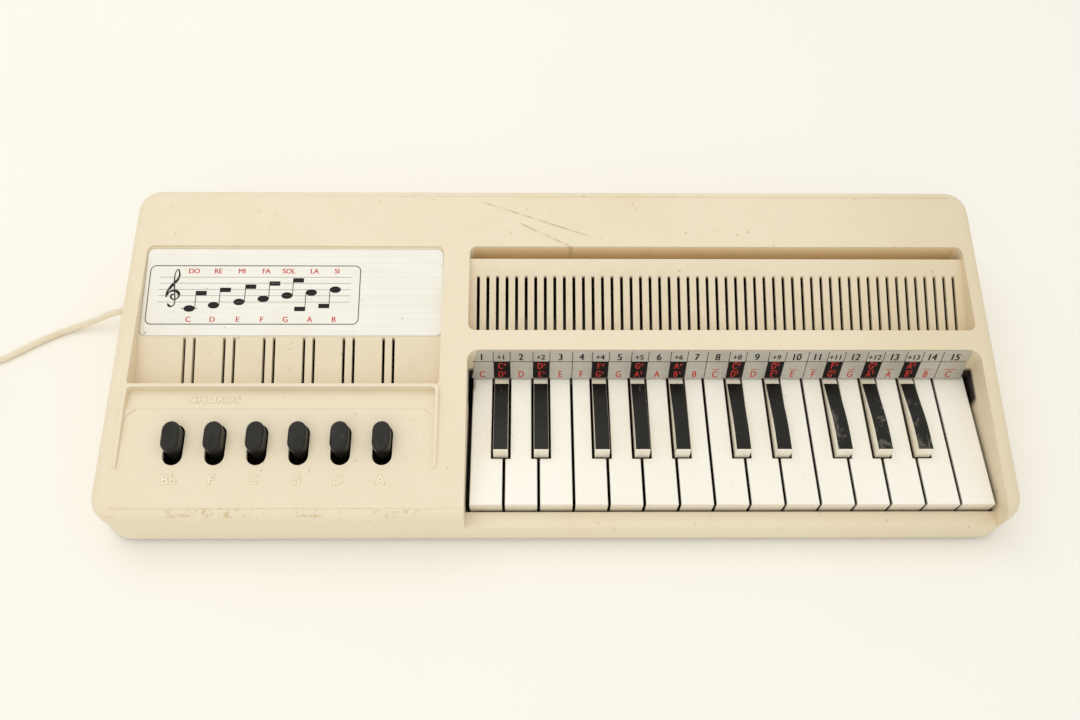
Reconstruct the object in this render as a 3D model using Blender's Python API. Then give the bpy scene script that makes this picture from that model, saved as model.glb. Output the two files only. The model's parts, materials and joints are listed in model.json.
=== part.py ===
"""A portable chord organ: a two-octave keyboard with six chord buttons, blown by an electric fan.

Units are millimetres in the values below and metres in the scene. X runs along the keys, Y from
the player to the back, Z up. The origin is on the floor under the middle of the case.
"""

import math

import bmesh
import bpy
from mathutils import Matrix, Vector

MM = 0.001

# Clearances
SEAT_GAP = 0.3
RUN_GAP = 0.4
SCREW_GAP = 0.35
FLOOR_GAP = 0.1

# How far cutters run past what they cut, and how joined forms meet
CUT_PAST = 1.0
CUT_REACH = 40.0
JOIN_SINK = 0.5
FACE_STEP = 0.1
ROUND_END_FLAT = 0.01

# Case
CASE_WIDTH = 572.0
CASE_DEPTH = 226.0
FRONT_HEIGHT = 40.0
TOP_SLOPE = math.radians(8.83)
WALL = 2.5
RECESS_WALL = 2.2
CASE_CORNER_R = 15.0
CASE_EDGE_R = 6.5
COVER_THICKNESS = 2.5
FOOT_HEIGHT = 2.7
FOOT_RADIUS = 8.0
FOOT_TAPER = 0.8
FOOT_INSET = 30.0
PEG_RADIUS = 2.6
SCREW_RADIUS = 1.3
SCREW_HEAD_RADIUS = 2.4
SCREW_HEAD_HEIGHT = 1.4
SCREW_LENGTH = 10.5
BOSS_RADIUS = 3.8
BOSS_INSET_X = 14.0
BOSS_INSET_Y = 6.0
ROD_END = 1.0

# Key well
CHEEK_WIDTH = 10.8
WELL_LEFT_GAP = 1.9
WELL_RIGHT_GAP = 1.2
RAIL_DEPTH = 10.7
RAIL_TOP = 22.0
RAIL_EDGE_R = 2.2
WELL_CORNER_R = 7.0
WELL_SIDE_SETFORWARD = 2.0
WELL_SIDE_REACH = 12.0

# Keys
WHITE_COUNT = 15
KEY_PITCH = 22.0
KEY_GAP = 1.8
KEY_FRONT_GAP = 1.4
KEY_SHOW = 9.0
KEY_LIP = 13.0
KEY_SKIN = 2.0
KEY_BEAM = 8.0
KEY_EDGE_R = 0.5
HEAD_LENGTH = 31.0
TAIL_REACH = 38.0
TAIL_RELIEF = 0.8
TAIL_START = 6.0
PIVOT_SETBACK = 112.9
PIVOT_RADIUS = 1.5
BLACK_HEIGHT = 8.3
BLACK_BACK_HEIGHT = 1.6
BLACK_CREST = 20.0
BLACK_CREST_R = 7.0
BLACK_WIDTH = 9.3
BLACK_SIDE_GAP = 1.65
BLACK_FRONT_GAP = 1.1
BLACK_SLOPE_RUN = 1.1
BLACK_HEAD_LENGTH = 55.0
BLACK_OFFSETS = (-2.1, 1.7, -3.6, 0.0, 3.6)
BLACK_AFTER = (0, 1, 3, 4, 5)
OCTAVE = 7

# Label strip behind the keys
STRIP_SETBACK = 88.0
STRIP_LIFT = 1.9
STRIP_TILT = math.radians(73.0)
STRIP_THICKNESS = 0.8
STRIP_LEFT_GAP = 1.9
STRIP_RIGHT_GAP = 5.2
STRIP_TOP_INSET = 4.6

# Sound grille
RECESS_BACK_MARGIN = 44.0
GRILLE_DEPTH = 60.2
GRILLE_SLOPE = math.radians(20.0)
GRILLE_BACK_DROP = 3.6
GRILLE_TRENCH_WIDTH = 6.9
GRILLE_TRENCH_DEPTH = 16.0
TRENCH_WALL = 2.7
GRILLE_CORNER_R = 4.5
GRILLE_SLOTS = 51
GRILLE_SLOT_WIDTH = 2.1
GRILLE_SLOT_MARGIN = 5.8
GRILLE_SLOT_RIGHT_MARGIN = 6.4
GRILLE_SLOT_TOP_MARGIN = 11.0
SLOT_END_GAP = 0.8

# Music panel on the left, with its chart plate and sound slots
PANEL_MARGIN = 12.2
PANEL_GAP = 17.5
PANEL_CORNER_R = 4.0
PLATE_BACK_DROP = 1.2
PLATE_SLOPE = math.radians(13.7)
PLATE_THICKNESS = 0.8
PLATE_SIDE_MARGIN = 0.4
PLATE_BACK_MARGIN = 1.5
PLATE_LENGTH = 59.4
PLATE_CORNER_R = 3.5
SLOT_FLOOR_SLOPE = math.radians(21.5)
SLOT_FLOOR_LENGTH = 37.0
PANEL_SLOT_WIDTH = 1.9
PANEL_SLOT_SPREAD = 6.45
PANEL_SLOT_LEFT_MARGIN = 33.55
PANEL_SLOT_RIGHT_MARGIN = 34.85

# Raised lip round the chord buttons, with the shelf under it
LIP_WIDTH = 2.0
LIP_HEIGHT = 3.0
LIP_FRONT_HEIGHT = 1.2
LIP_LEG = 54.0
LIP_CORNER_R = 3.5
LIP_SINK = 0.2
SHELF_DEPTH = 13.4
SHELF_DROP = 2.6
BUTTON_FIELD_DROP = 0.8
BUTTON_FIELD_FADE = 0.15
BUTTON_FIELD_R = 10.0
LIP_FOOT_STEP = 0.05

# Chord buttons and their levers
CHORD_COUNT = 6
CHORD_LEFT_MARGIN = 35.35
CHORD_RIGHT_MARGIN = 33.75
CHORD_HOLE_WIDTH = 12.4
CHORD_HOLE_LENGTH = 26.0
CHORD_HOLE_SETFORWARD = 9.8
CAP_WIDTH = 11.0
CAP_LENGTH = 18.9
CAP_PROUD = 8.2
CAP_HEIGHT = 16.2
CAP_BACK_GAP = 1.3
CAP_EDGE_R = 0.8
LEVER_WIDTH = 5.0
LEVER_HEIGHT = 6.0
LEVER_BOTTOM = 19.5
LEVER_PIVOT_SETBACK = 29.0
LEVER_BOSS_RADIUS = 4.2
LEVER_BOSS_PROUD = 1.0
LEVER_TAIL = 48.0
STEM_SINK = 2.0
PAD_SIDE_GAP = 9.8
PAD_LENGTH = 16.0
PAD_HEIGHT = 3.5

# Key frame on the bottom cover
FRAME_THICKNESS = 2.5
FRAME_FRONT_REACH = 10.0
FRAME_BACK_REACH = 8.0
EAR_THICKNESS = 2.4
EAR_LENGTH = 10.0
EAR_TOP = 3.4
STOP_WIDTH = 6.0
STOP_HEIGHT = 2.0

# Spring combs
COMB_THICKNESS = 0.5
COMB_BEAM = 10.0
COMB_GAP = 2.0
FINGER_WIDTH = 3.0
KEY_FINGER_LENGTH = 34.0
CHORD_FINGER_LENGTH = 12.0

# Wind chests and reed plates
CHEST_WALL = 2.0
CHEST_DEPTH = 22.0
CHEST_END_MARGIN = 2.0
REED_PLATE_THICKNESS = 1.5
REED_SLOT_WIDTH = 4.0
REED_SLOT_LENGTH = 10.0
CHORD_REED_SPREAD = 5.0

# Fan
FAN_SETBACK = 45.0
FAN_INSET = 76.0
FAN_RADIUS = 38.0
FAN_WALL = 2.0
FAN_HEIGHT = 24.0
FAN_EYE_RADIUS = 16.0
IMPELLER_RADIUS = 32.0
IMPELLER_TOP_GAP = 2.0
IMPELLER_HUB_RADIUS = 8.0
IMPELLER_HUB_HEIGHT = 6.0
IMPELLER_PLATE = 1.6
IMPELLER_BLADES = 10
BLADE_THICKNESS = 1.6
BLADE_HEIGHT = 13.0
BLADE_ROOT_RADIUS = 17.6
BLADE_TIP_GAP = 1.0
BLADE_LEAN = 0.4
SHAFT_RADIUS = 1.6
MOTOR_RADIUS = 19.0
MOTOR_HEIGHT = 18.0
MOTOR_BELL_RADIUS = 9.0
MOTOR_BELL_HEIGHT = 3.5
DUCT_WIDTH = 22.0
DUCT_SETFORWARD = 27.0
DUCT_TOP_DROP = 4.0
BRANCH_OFFSET = 60.0
BRANCH_WIDTH = 16.0
INTAKE_SLOTS = 7
INTAKE_SLOT_WIDTH = 3.0
INTAKE_SLOT_LENGTH = 34.0
INTAKE_SLOT_PITCH = 8.0

# Mains cord
CORD_DIAMETER = 4.5
RELIEF_HEIGHT = 14.0
RELIEF_SETBACK = 62.0
RELIEF_LENGTH = 22.0
RELIEF_ROOT_RADIUS = 5.0
RELIEF_TIP_RADIUS = 3.3
RELIEF_FLANGE_RADIUS = 6.5
RELIEF_FLANGE = 1.5
RELIEF_INSIDE = 5.0
COIL_CENTRE = (-436.0, -28.0)
COIL_MID_RADIUS = 27.0
COIL_LAYERS = 2
COIL_LOOPS = 4
COIL_GAP = 0.5
COIL_STEPS = 24
COIL_START = math.radians(100.0)
COIL_END_STRAIGHT = 25.0
PLUG_LENGTH = 34.0
PLUG_WIDTH = 26.0
PLUG_NOSE = 9.0
PLUG_NOSE_WIDTH = 9.0
PLUG_NOSE_STEP = 2.0
PLUG_CORNER_R = 6.0
PIN_LENGTH = 19.0
PIN_RADIUS = 2.0
PIN_SPACING = 19.0
TIE_WIDTH = 5.0
TIE_THICKNESS = 0.6

# Where things stand, worked out from the sizes above
CASE_BOTTOM = FOOT_HEIGHT + SEAT_GAP
COVER_TOP = CASE_BOTTOM + COVER_THICKNESS
FRONT_Y = -CASE_DEPTH / 2
BACK_Y = CASE_DEPTH / 2
CUT_TOP = FRONT_HEIGHT + math.tan(TOP_SLOPE) * CASE_DEPTH + CUT_REACH
LEFT_X = -CASE_WIDTH / 2
RIGHT_X = CASE_WIDTH / 2
WELL_X1 = RIGHT_X - CHEEK_WIDTH
WELL_X0 = WELL_X1 - WELL_RIGHT_GAP - WELL_LEFT_GAP - WHITE_COUNT * KEY_PITCH
WELL_Y0 = FRONT_Y + RAIL_DEPTH
KEYS_X0 = WELL_X0 + WELL_LEFT_GAP
KEY_Y0 = WELL_Y0 + KEY_FRONT_GAP
KEY_TOP = RAIL_TOP + KEY_SHOW
KEY_BEAM_BOTTOM = KEY_TOP - KEY_BEAM
PIVOT_Y = KEY_Y0 + PIVOT_SETBACK
PIVOT_Z = KEY_TOP - KEY_BEAM / 2
TAIL_Y1 = PIVOT_Y + TAIL_REACH
NOTCH_Y0 = KEY_Y0 + HEAD_LENGTH
STRIP_Y = KEY_Y0 + STRIP_SETBACK
STRIP_Z = KEY_TOP + STRIP_LIFT
RECESS_Y1 = BACK_Y - RECESS_BACK_MARGIN
GRILLE_Y0 = RECESS_Y1 - GRILLE_DEPTH
PANEL_X0 = LEFT_X + PANEL_MARGIN
PANEL_X1 = WELL_X0 - PANEL_GAP
PANEL_WIDTH = PANEL_X1 - PANEL_X0
PLATE_Y0 = RECESS_Y1 - PLATE_BACK_MARGIN - PLATE_LENGTH
PANEL_Y0 = PLATE_Y0 - SLOT_FLOOR_LENGTH
LIP_Y0 = PANEL_Y0 - LIP_WIDTH
SHELF_Y0 = LIP_Y0 - SHELF_DEPTH
CHORD_PITCH = (PANEL_WIDTH - CHORD_LEFT_MARGIN - CHORD_RIGHT_MARGIN) / (CHORD_COUNT - 1)
PAD_WIDTH = CHORD_PITCH - PAD_SIDE_GAP
HOLE_Y1 = SHELF_Y0 - CHORD_HOLE_SETFORWARD
HOLE_Y0 = HOLE_Y1 - CHORD_HOLE_LENGTH
CAP_Y1 = HOLE_Y1 - CAP_BACK_GAP
CAP_Y0 = CAP_Y1 - CAP_LENGTH
LEVER_PIVOT_Y = (CAP_Y0 + CAP_Y1) / 2 + LEVER_PIVOT_SETBACK
LEVER_PIVOT_Z = LEVER_BOTTOM + LEVER_HEIGHT / 2
CHEST_TOP = KEY_BEAM_BOTTOM - SEAT_GAP - REED_PLATE_THICKNESS - SEAT_GAP
CHORD_CHEST_TOP = LEVER_BOTTOM - PAD_HEIGHT - SEAT_GAP - REED_PLATE_THICKNESS - SEAT_GAP
STAND_Z = COVER_TOP + SEAT_GAP
FAN_X = LEFT_X + FAN_INSET
FAN_Y = BACK_Y - FAN_SETBACK
MOTOR_Z0 = STAND_Z + FAN_HEIGHT + SEAT_GAP
RELIEF_Y = BACK_Y - RELIEF_SETBACK


def top_z(y, drop=0.0):
    """Height of the case's sloping top at y, or of a plane that lies drop below it."""
    return FRONT_HEIGHT - drop + math.tan(TOP_SLOPE) * (y - FRONT_Y)


def grille_floor(y, drop=0.0):
    """Height of the grille panel: it starts near the top at the back and sinks towards the keys."""
    back_y = RECESS_Y1 - GRILLE_TRENCH_WIDTH
    return top_z(back_y, GRILLE_BACK_DROP + drop) - math.tan(GRILLE_SLOPE) * (back_y - y)


def plate_floor(y, drop=0.0):
    """Height of the chart plate's face, carried on past its ends."""
    return top_z(RECESS_Y1, PLATE_BACK_DROP + drop) - math.tan(PLATE_SLOPE) * (RECESS_Y1 - y)


def panel_floor(y, drop=0.0):
    """Height of the music panel: the plate's plane at the back, then the steeper slotted floor."""
    if y >= PLATE_Y0:
        return plate_floor(y, drop)
    return plate_floor(PLATE_Y0, drop) - math.tan(SLOT_FLOOR_SLOPE) * (PLATE_Y0 - y)


def black_centres():
    """X of the middle of each black key."""
    centres = []
    for white in range(WHITE_COUNT - 1):
        if white % OCTAVE in BLACK_AFTER:
            offset = BLACK_OFFSETS[BLACK_AFTER.index(white % OCTAVE)]
            centres.append(KEYS_X0 + (white + 1) * KEY_PITCH + offset)
    return centres


def tail_centres():
    """X of the middle of each key's tail, from left to right: these are the reeds' places too."""
    whites = [sum(white_neck(i)) / 2 for i in range(WHITE_COUNT)]
    return sorted(whites + black_centres())


def white_neck(index):
    """Left and right edge of the narrow back part of a white key."""
    left = KEYS_X0 + index * KEY_PITCH + KEY_GAP / 2
    right = left + KEY_PITCH - KEY_GAP
    side = BLACK_WIDTH / 2 + BLACK_SIDE_GAP
    for centre in black_centres():
        if left < centre + side < right:
            left = centre + side
        if left < centre - side < right:
            right = centre - side
    return left, right


def ear_places():
    """X of the gaps between white keys that have no black key, and of the two ends."""
    places = [WELL_X0 - EAR_THICKNESS / 2, KEYS_X0 + WHITE_COUNT * KEY_PITCH + EAR_THICKNESS]
    for white in range(WHITE_COUNT - 1):
        if white % OCTAVE not in BLACK_AFTER:
            places.append(KEYS_X0 + (white + 1) * KEY_PITCH)
    return sorted(places)


def chord_centres():
    """X of each chord button."""
    return [PANEL_X0 + CHORD_LEFT_MARGIN + CHORD_PITCH * i for i in range(CHORD_COUNT)]


def lever_ear_places():
    """X of the ears that hold the levers' rod: outside the levers and between each pair."""
    centres = chord_centres()
    return [centres[0] - CHORD_PITCH / 2] + [x + CHORD_PITCH / 2 for x in centres[1::2]]


# Scene, collections and materials

for old in list(bpy.data.objects):
    bpy.data.objects.remove(old)


def new_collection(name):
    collection = bpy.data.collections.new(name)
    bpy.context.scene.collection.children.link(collection)
    return collection


PARTS = new_collection("chord_organ")
CUTTERS = new_collection("cutters")


def material(name, colour, roughness, metallic=0.0):
    made = bpy.data.materials.new(name)
    made.use_nodes = True
    shader = made.node_tree.nodes["Principled BSDF"]
    shader.inputs["Base Color"].default_value = (*colour, 1.0)
    shader.inputs["Roughness"].default_value = roughness
    shader.inputs["Metallic"].default_value = metallic
    return made


CASE_PLASTIC = material("case_plastic", (0.80, 0.70, 0.53), 0.45)
COVER_PLASTIC = material("cover_plastic", (0.30, 0.25, 0.19), 0.6)
KEY_PLASTIC = material("key_plastic", (0.90, 0.87, 0.76), 0.25)
SHARP_PLASTIC = material("sharp_plastic", (0.82, 0.77, 0.63), 0.3)
BLACK_PLASTIC = material("black_plastic", (0.03, 0.03, 0.027), 0.4)
PLATE_METAL = material("plate_metal", (0.72, 0.71, 0.68), 0.4, 0.6)
STRIP_METAL = material("strip_metal", (0.48, 0.47, 0.43), 0.45, 0.5)
SPRING_STEEL = material("spring_steel", (0.6, 0.6, 0.62), 0.3, 1.0)
REED_METAL = material("reed_metal", (0.78, 0.76, 0.70), 0.35, 1.0)
CHEST_PLASTIC = material("chest_plastic", (0.16, 0.16, 0.17), 0.55)
RUBBER = material("rubber", (0.05, 0.05, 0.05), 0.8)
CORD_PLASTIC = material("cord_plastic", (0.85, 0.81, 0.70), 0.45)
TIE_PLASTIC = material("tie_plastic", (0.88, 0.86, 0.80), 0.5)
MOTOR_METAL = material("motor_metal", (0.45, 0.45, 0.47), 0.4, 1.0)


# Modelling helpers


def node(name, bm, made_of, origin=(0.0, 0.0, 0.0), collection=None):
    """An object from a mesh in millimetres, with its own origin at the given place."""
    place = Vector(origin) * MM
    bm.transform(Matrix.Translation(-place) @ Matrix.Scale(MM, 4))
    mesh = bpy.data.meshes.new(name)
    bm.to_mesh(mesh)
    bm.free()
    made = bpy.data.objects.new(name, mesh)
    made.location = place
    mesh.materials.append(made_of)
    (collection or PARTS).objects.link(made)
    return made


def cutter(name, bm):
    made = node(name, bm, CHEST_PLASTIC, collection=CUTTERS)
    made.hide_render = True
    made.display_type = "WIRE"
    return made


def boolean(target, tool, operation="DIFFERENCE"):
    step = target.modifiers.new(tool.name, "BOOLEAN")
    step.operation = operation
    step.object = tool
    step.solver = "EXACT"


def cut(target, name, bm):
    boolean(target, cutter(name, bm))


def join(target, name, bm):
    boolean(target, cutter(name, bm), "UNION")


def box(low, high):
    bm = bmesh.new()
    bmesh.ops.create_cube(bm, size=2.0)
    for vert in bm.verts:
        vert.co = [high[i] if vert.co[i] > 0 else low[i] for i in range(3)]
    return bm


def boxes(corners):
    """One mesh of several boxes that don't touch."""
    bm = bmesh.new()
    for low, high in corners:
        piece = box(low, high)
        mesh = bpy.data.meshes.new("box")
        piece.to_mesh(mesh)
        piece.free()
        bm.from_mesh(mesh)
        bpy.data.meshes.remove(mesh)
    return bm


def drum(centre, radius, bottom, top, sides=24, tip_radius=None, axis="Z"):
    """A cylinder or cone along an axis, from bottom to top on it, through centre across it."""
    bm = bmesh.new()
    tip = radius if tip_radius is None else tip_radius
    depth = top - bottom
    bmesh.ops.create_cone(
        bm, cap_ends=True, segments=sides, radius1=radius, radius2=tip, depth=depth
    )
    lift = Matrix.Translation((0, 0, (top + bottom) / 2))
    turn = Matrix.Identity(4)
    if axis == "X":
        turn = Matrix.Rotation(math.radians(90), 4, "Y")
    shift = Matrix.Translation((centre[0], centre[1], 0))
    if axis == "X":
        shift = Matrix.Translation((0, centre[0], centre[1]))
    bm.transform(shift @ turn @ lift)
    return bm


def upright_edges(bm, wanted=lambda edge: True):
    found = []
    for edge in bm.edges:
        a, b = edge.verts
        if (a.co - b.co).xy.length < 1e-4 and wanted(edge):
            found.append(edge)
    return found


def bottom_verts(bm):
    lowest = min(vert.co.z for vert in bm.verts)
    return [vert for vert in bm.verts if vert.co.z < lowest + 1e-3]


def round_edges(bm, edges, radius, segments):
    bmesh.ops.bevel(
        bm, geom=edges, offset=radius, segments=segments, profile=0.5, affect="EDGES", material=-1
    )


def rounded_box(x_range, y_range, z_range, radius, segments=4):
    bm = box((x_range[0], y_range[0], z_range[0]), (x_range[1], y_range[1], z_range[1]))
    round_edges(bm, upright_edges(bm), radius, segments)
    return bm


def profile_block(points, x0, x1):
    """A Y-Z outline, given in order round it, extruded along X."""
    bm = bmesh.new()
    corners = [bm.verts.new((x0, y, z)) for y, z in points]
    face = bm.faces.new(corners)
    made = bmesh.ops.extrude_face_region(bm, geom=[face])
    moved = [item for item in made["geom"] if isinstance(item, bmesh.types.BMVert)]
    bmesh.ops.translate(bm, verts=moved, vec=(x1 - x0, 0, 0))
    bmesh.ops.recalc_face_normals(bm, faces=bm.faces)
    return bm


def plan_block(points, z0, z1):
    """An X-Y outline, given in order round it, extruded upwards."""
    bm = bmesh.new()
    corners = [bm.verts.new((x, y, z0)) for x, y in points]
    face = bm.faces.new(corners)
    made = bmesh.ops.extrude_face_region(bm, geom=[face])
    moved = [item for item in made["geom"] if isinstance(item, bmesh.types.BMVert)]
    bmesh.ops.translate(bm, verts=moved, vec=(0, 0, z1 - z0))
    bmesh.ops.recalc_face_normals(bm, faces=bm.faces)
    return bm


def case_block(grow, bottom, edge_radius, edge_segments):
    """The case's outer form, made bigger all round by grow, with its sloping top."""
    across = CASE_WIDTH / 2 + grow
    along = CASE_DEPTH / 2 + grow
    radius = CASE_CORNER_R + grow
    bm = rounded_box((-across, across), (-along, along), (bottom, FRONT_HEIGHT), radius, 5)
    top = [v for v in bm.verts if v.co.z > FRONT_HEIGHT - 1e-3]
    drop = -grow / math.cos(TOP_SLOPE)
    for vert in top:
        vert.co.z = top_z(vert.co.y, drop)
    rim = [e for e in bm.edges if e.verts[0] in top and e.verts[1] in top]
    round_edges(bm, rim, edge_radius, edge_segments)
    return bm


def pocket(x_range, y_range, floor, radius, grow=0.0, crease=None):
    """A recess cutter, open at the top, with a floor given by a function of y.

    grow makes it bigger by a wall on every side, and crease is the y of a fold in its floor.
    """
    y0, y1 = y_range[0] - grow, y_range[1] + grow
    bm = rounded_box((x_range[0] - grow, x_range[1] + grow), (y0, y1), (0.0, CUT_TOP), radius, 3)
    if crease is not None:
        everything = list(bm.verts) + list(bm.edges) + list(bm.faces)
        bmesh.ops.bisect_plane(bm, geom=everything, plane_co=(0, crease, 0), plane_no=(0, 1, 0))
    for vert in bm.verts:
        if vert.co.z < CUT_TOP / 2:
            vert.co.z = floor(vert.co.y)
    return bm


# Top case


def strip_frame():
    """The label strip's foot, the direction up its face, and the direction out of it."""
    up = Vector((0, math.cos(STRIP_TILT), math.sin(STRIP_TILT)))
    out = Vector((0, -math.sin(STRIP_TILT), math.cos(STRIP_TILT)))
    return Vector((0, STRIP_Y, STRIP_Z)), up, out


def strip_length():
    """How far up its slope the strip reaches: to the case's top."""
    foot, up, _ = strip_frame()
    climb = math.sin(STRIP_TILT) - math.tan(TOP_SLOPE) * math.cos(STRIP_TILT)
    return (top_z(foot.y) - foot.z) / climb - SEAT_GAP


def strip_bed(depth, z):
    """Y at height z of the plane that lies depth behind the strip's face."""
    foot, _, out = strip_frame()
    start = foot - out * depth
    return start.y + (z - start.z) / math.tan(STRIP_TILT)


def well_outline():
    """Outline of the key well: over the rounded rail, down into the case, and up the strip's bed."""
    outside = FRONT_Y - CUT_REACH
    depth = STRIP_THICKNESS + SEAT_GAP
    bed_foot = STRIP_Z - WALL
    points = [(outside, CUT_TOP), (outside, RAIL_TOP - RAIL_EDGE_R)]
    for step in range(5):
        turn = math.radians(90) * step / 4
        y = FRONT_Y + RAIL_EDGE_R * (1 - math.cos(turn))
        z = RAIL_TOP - RAIL_EDGE_R * (1 - math.sin(turn))
        points.append((y, z))
    points += [(WELL_Y0, RAIL_TOP), (WELL_Y0, 0.0), (strip_bed(depth, bed_foot), 0.0)]
    points += [(strip_bed(depth, bed_foot), bed_foot), (strip_bed(depth, CUT_TOP), CUT_TOP)]
    return points


def well_plan():
    """The well's plan, with rounded corners at the back, just behind the strip's top edge."""
    foot, up, out = strip_frame()
    rear = (foot + up * strip_length() - out * STRIP_THICKNESS).y + SEAT_GAP
    bm = box((WELL_X0, FRONT_Y - 2 * CUT_REACH, -CUT_PAST), (WELL_X1, rear, CUT_TOP + CUT_PAST))
    round_edges(bm, upright_edges(bm, lambda e: e.verts[0].co.y > WELL_Y0), WELL_CORNER_R, 4)
    return bm


def well_walls():
    """What the hollow leaves solid round the well: its side walls, the rail and the strip's bed."""
    outside = FRONT_Y - CUT_REACH
    depth = STRIP_THICKNESS + SEAT_GAP + WALL
    side_end = STRIP_Y - WELL_SIDE_SETFORWARD
    return [
        (outside, CUT_TOP),
        (outside, RAIL_TOP - WALL),
        (side_end, RAIL_TOP - WALL),
        (side_end, STRIP_Z),
        (strip_bed(depth, STRIP_Z), STRIP_Z),
        (strip_bed(depth, CUT_TOP), CUT_TOP),
    ]


def stadium(x, y_range, z_range, width, sides=6):
    """An upright block with round ends along Y."""
    radius = width / 2 - ROUND_END_FLAT
    return rounded_box((x - width / 2, x + width / 2), y_range, z_range, radius, sides)


def lip_block():
    """The raised U round the chord buttons, as a block that stands well into the case."""
    front = PANEL_Y0 - LIP_LEG
    foot = top_z(LIP_Y0) - LIP_HEIGHT - WALL
    bm = rounded_box((PANEL_X0, PANEL_X1), (front, PANEL_Y0), (0.0, 1.0), LIP_CORNER_R, 3)
    for vert in bm.verts:
        share = (vert.co.y - front) / (PANEL_Y0 - front)
        height = LIP_FRONT_HEIGHT + (LIP_HEIGHT - LIP_FRONT_HEIGHT) * share
        if vert.co.z > 0.5:
            vert.co.z = top_z(vert.co.y) + height
        else:
            vert.co.z = min(foot, top_z(vert.co.y) - WALL + LIP_SINK)
    return bm


def inside_lip(step, y_range):
    """An upright block that fits inside the lip, smaller by step at its sides and back."""
    return rounded_box(
        (PANEL_X0 + LIP_WIDTH + step, PANEL_X1 - LIP_WIDTH - step),
        (y_range[0], y_range[1] - step), (0.0, CUT_TOP), LIP_CORNER_R - LIP_WIDTH / 2, 3)


def button_field():
    """The shallow field that the buttons stand in: it fades out towards the player."""
    front, back = PANEL_Y0 - LIP_LEG, SHELF_Y0 + 10 * LIP_FOOT_STEP
    bm = box((PANEL_X0 + LIP_WIDTH + LIP_FOOT_STEP, front, 0.0),
             (PANEL_X1 - LIP_WIDTH - LIP_FOOT_STEP, back, CUT_TOP))
    round_edges(bm, upright_edges(bm, lambda e: e.verts[0].co.y > front), BUTTON_FIELD_R, 5)
    for vert in bottom_verts(bm):
        share = (vert.co.y - front) / (SHELF_Y0 - front)
        deeper = (BUTTON_FIELD_DROP - BUTTON_FIELD_FADE) * share
        vert.co.z = top_z(vert.co.y, BUTTON_FIELD_FADE + deeper)
    return bm


def shelf_level():
    return top_z(LIP_Y0) - SHELF_DROP


def shelf_cut():
    """The level shelf between the lip and the buttons' field."""
    bm = inside_lip(LIP_FOOT_STEP, (SHELF_Y0, LIP_Y0))
    for vert in bottom_verts(bm):
        vert.co.z = shelf_level()
    return bm


def boss_places():
    """Where the four case screws stand."""
    across = CASE_WIDTH / 2 - BOSS_INSET_X
    along = CASE_DEPTH / 2 - BOSS_INSET_Y
    return [(sx * across, sy * along) for sx in (-1, 1) for sy in (-1, 1)]


def case_hollow():
    """The room inside the case, less the walls of the well and of the recesses."""
    hollow = cutter("case_hollow", case_block(-WALL, 0.0, CASE_EDGE_R - WALL, 2))
    panel_drop = PLATE_THICKNESS + SEAT_GAP + RECESS_WALL / math.cos(SLOT_FLOOR_SLOPE)
    cut(hollow, "panel_walls", pocket(
        (PANEL_X0, PANEL_X1), (PANEL_Y0, RECESS_Y1), lambda y: panel_floor(y, panel_drop),
        PANEL_CORNER_R + RECESS_WALL, grow=RECESS_WALL, crease=PLATE_Y0))
    cut(hollow, "well_walls", profile_block(well_walls(), WELL_X0 - WALL, WELL_X1 + WALL))
    grille_drop = RECESS_WALL / math.cos(GRILLE_SLOPE)
    cut(hollow, "grille_walls", pocket(
        (WELL_X0, WELL_X1), (GRILLE_Y0, RECESS_Y1), lambda y: grille_floor(y, grille_drop),
        GRILLE_CORNER_R + RECESS_WALL, grow=RECESS_WALL))
    trench_y0 = RECESS_Y1 - GRILLE_TRENCH_WIDTH - TRENCH_WALL
    cut(hollow, "trench_walls", box(
        (WELL_X0 - TRENCH_WALL, trench_y0, trench_floor() - TRENCH_WALL),
        (WELL_X1 + TRENCH_WALL, RECESS_Y1 + TRENCH_WALL, CUT_TOP)))
    for side, x in enumerate((WELL_X0 - WALL, WELL_X1)):
        cut(hollow, f"well_side_{side + 1}", box(
            (x, STRIP_Y - WELL_SIDE_SETFORWARD - JOIN_SINK, KEY_BEAM_BOTTOM),
            (x + WALL, STRIP_Y + WELL_SIDE_REACH, STRIP_Z + JOIN_SINK)))
    cut(hollow, "shelf_walls", box(
        (PANEL_X0, SHELF_Y0 - RECESS_WALL, shelf_level() - RECESS_WALL),
        (PANEL_X1, LIP_Y0 + CUT_PAST, top_z(BACK_Y))))
    return hollow


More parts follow.
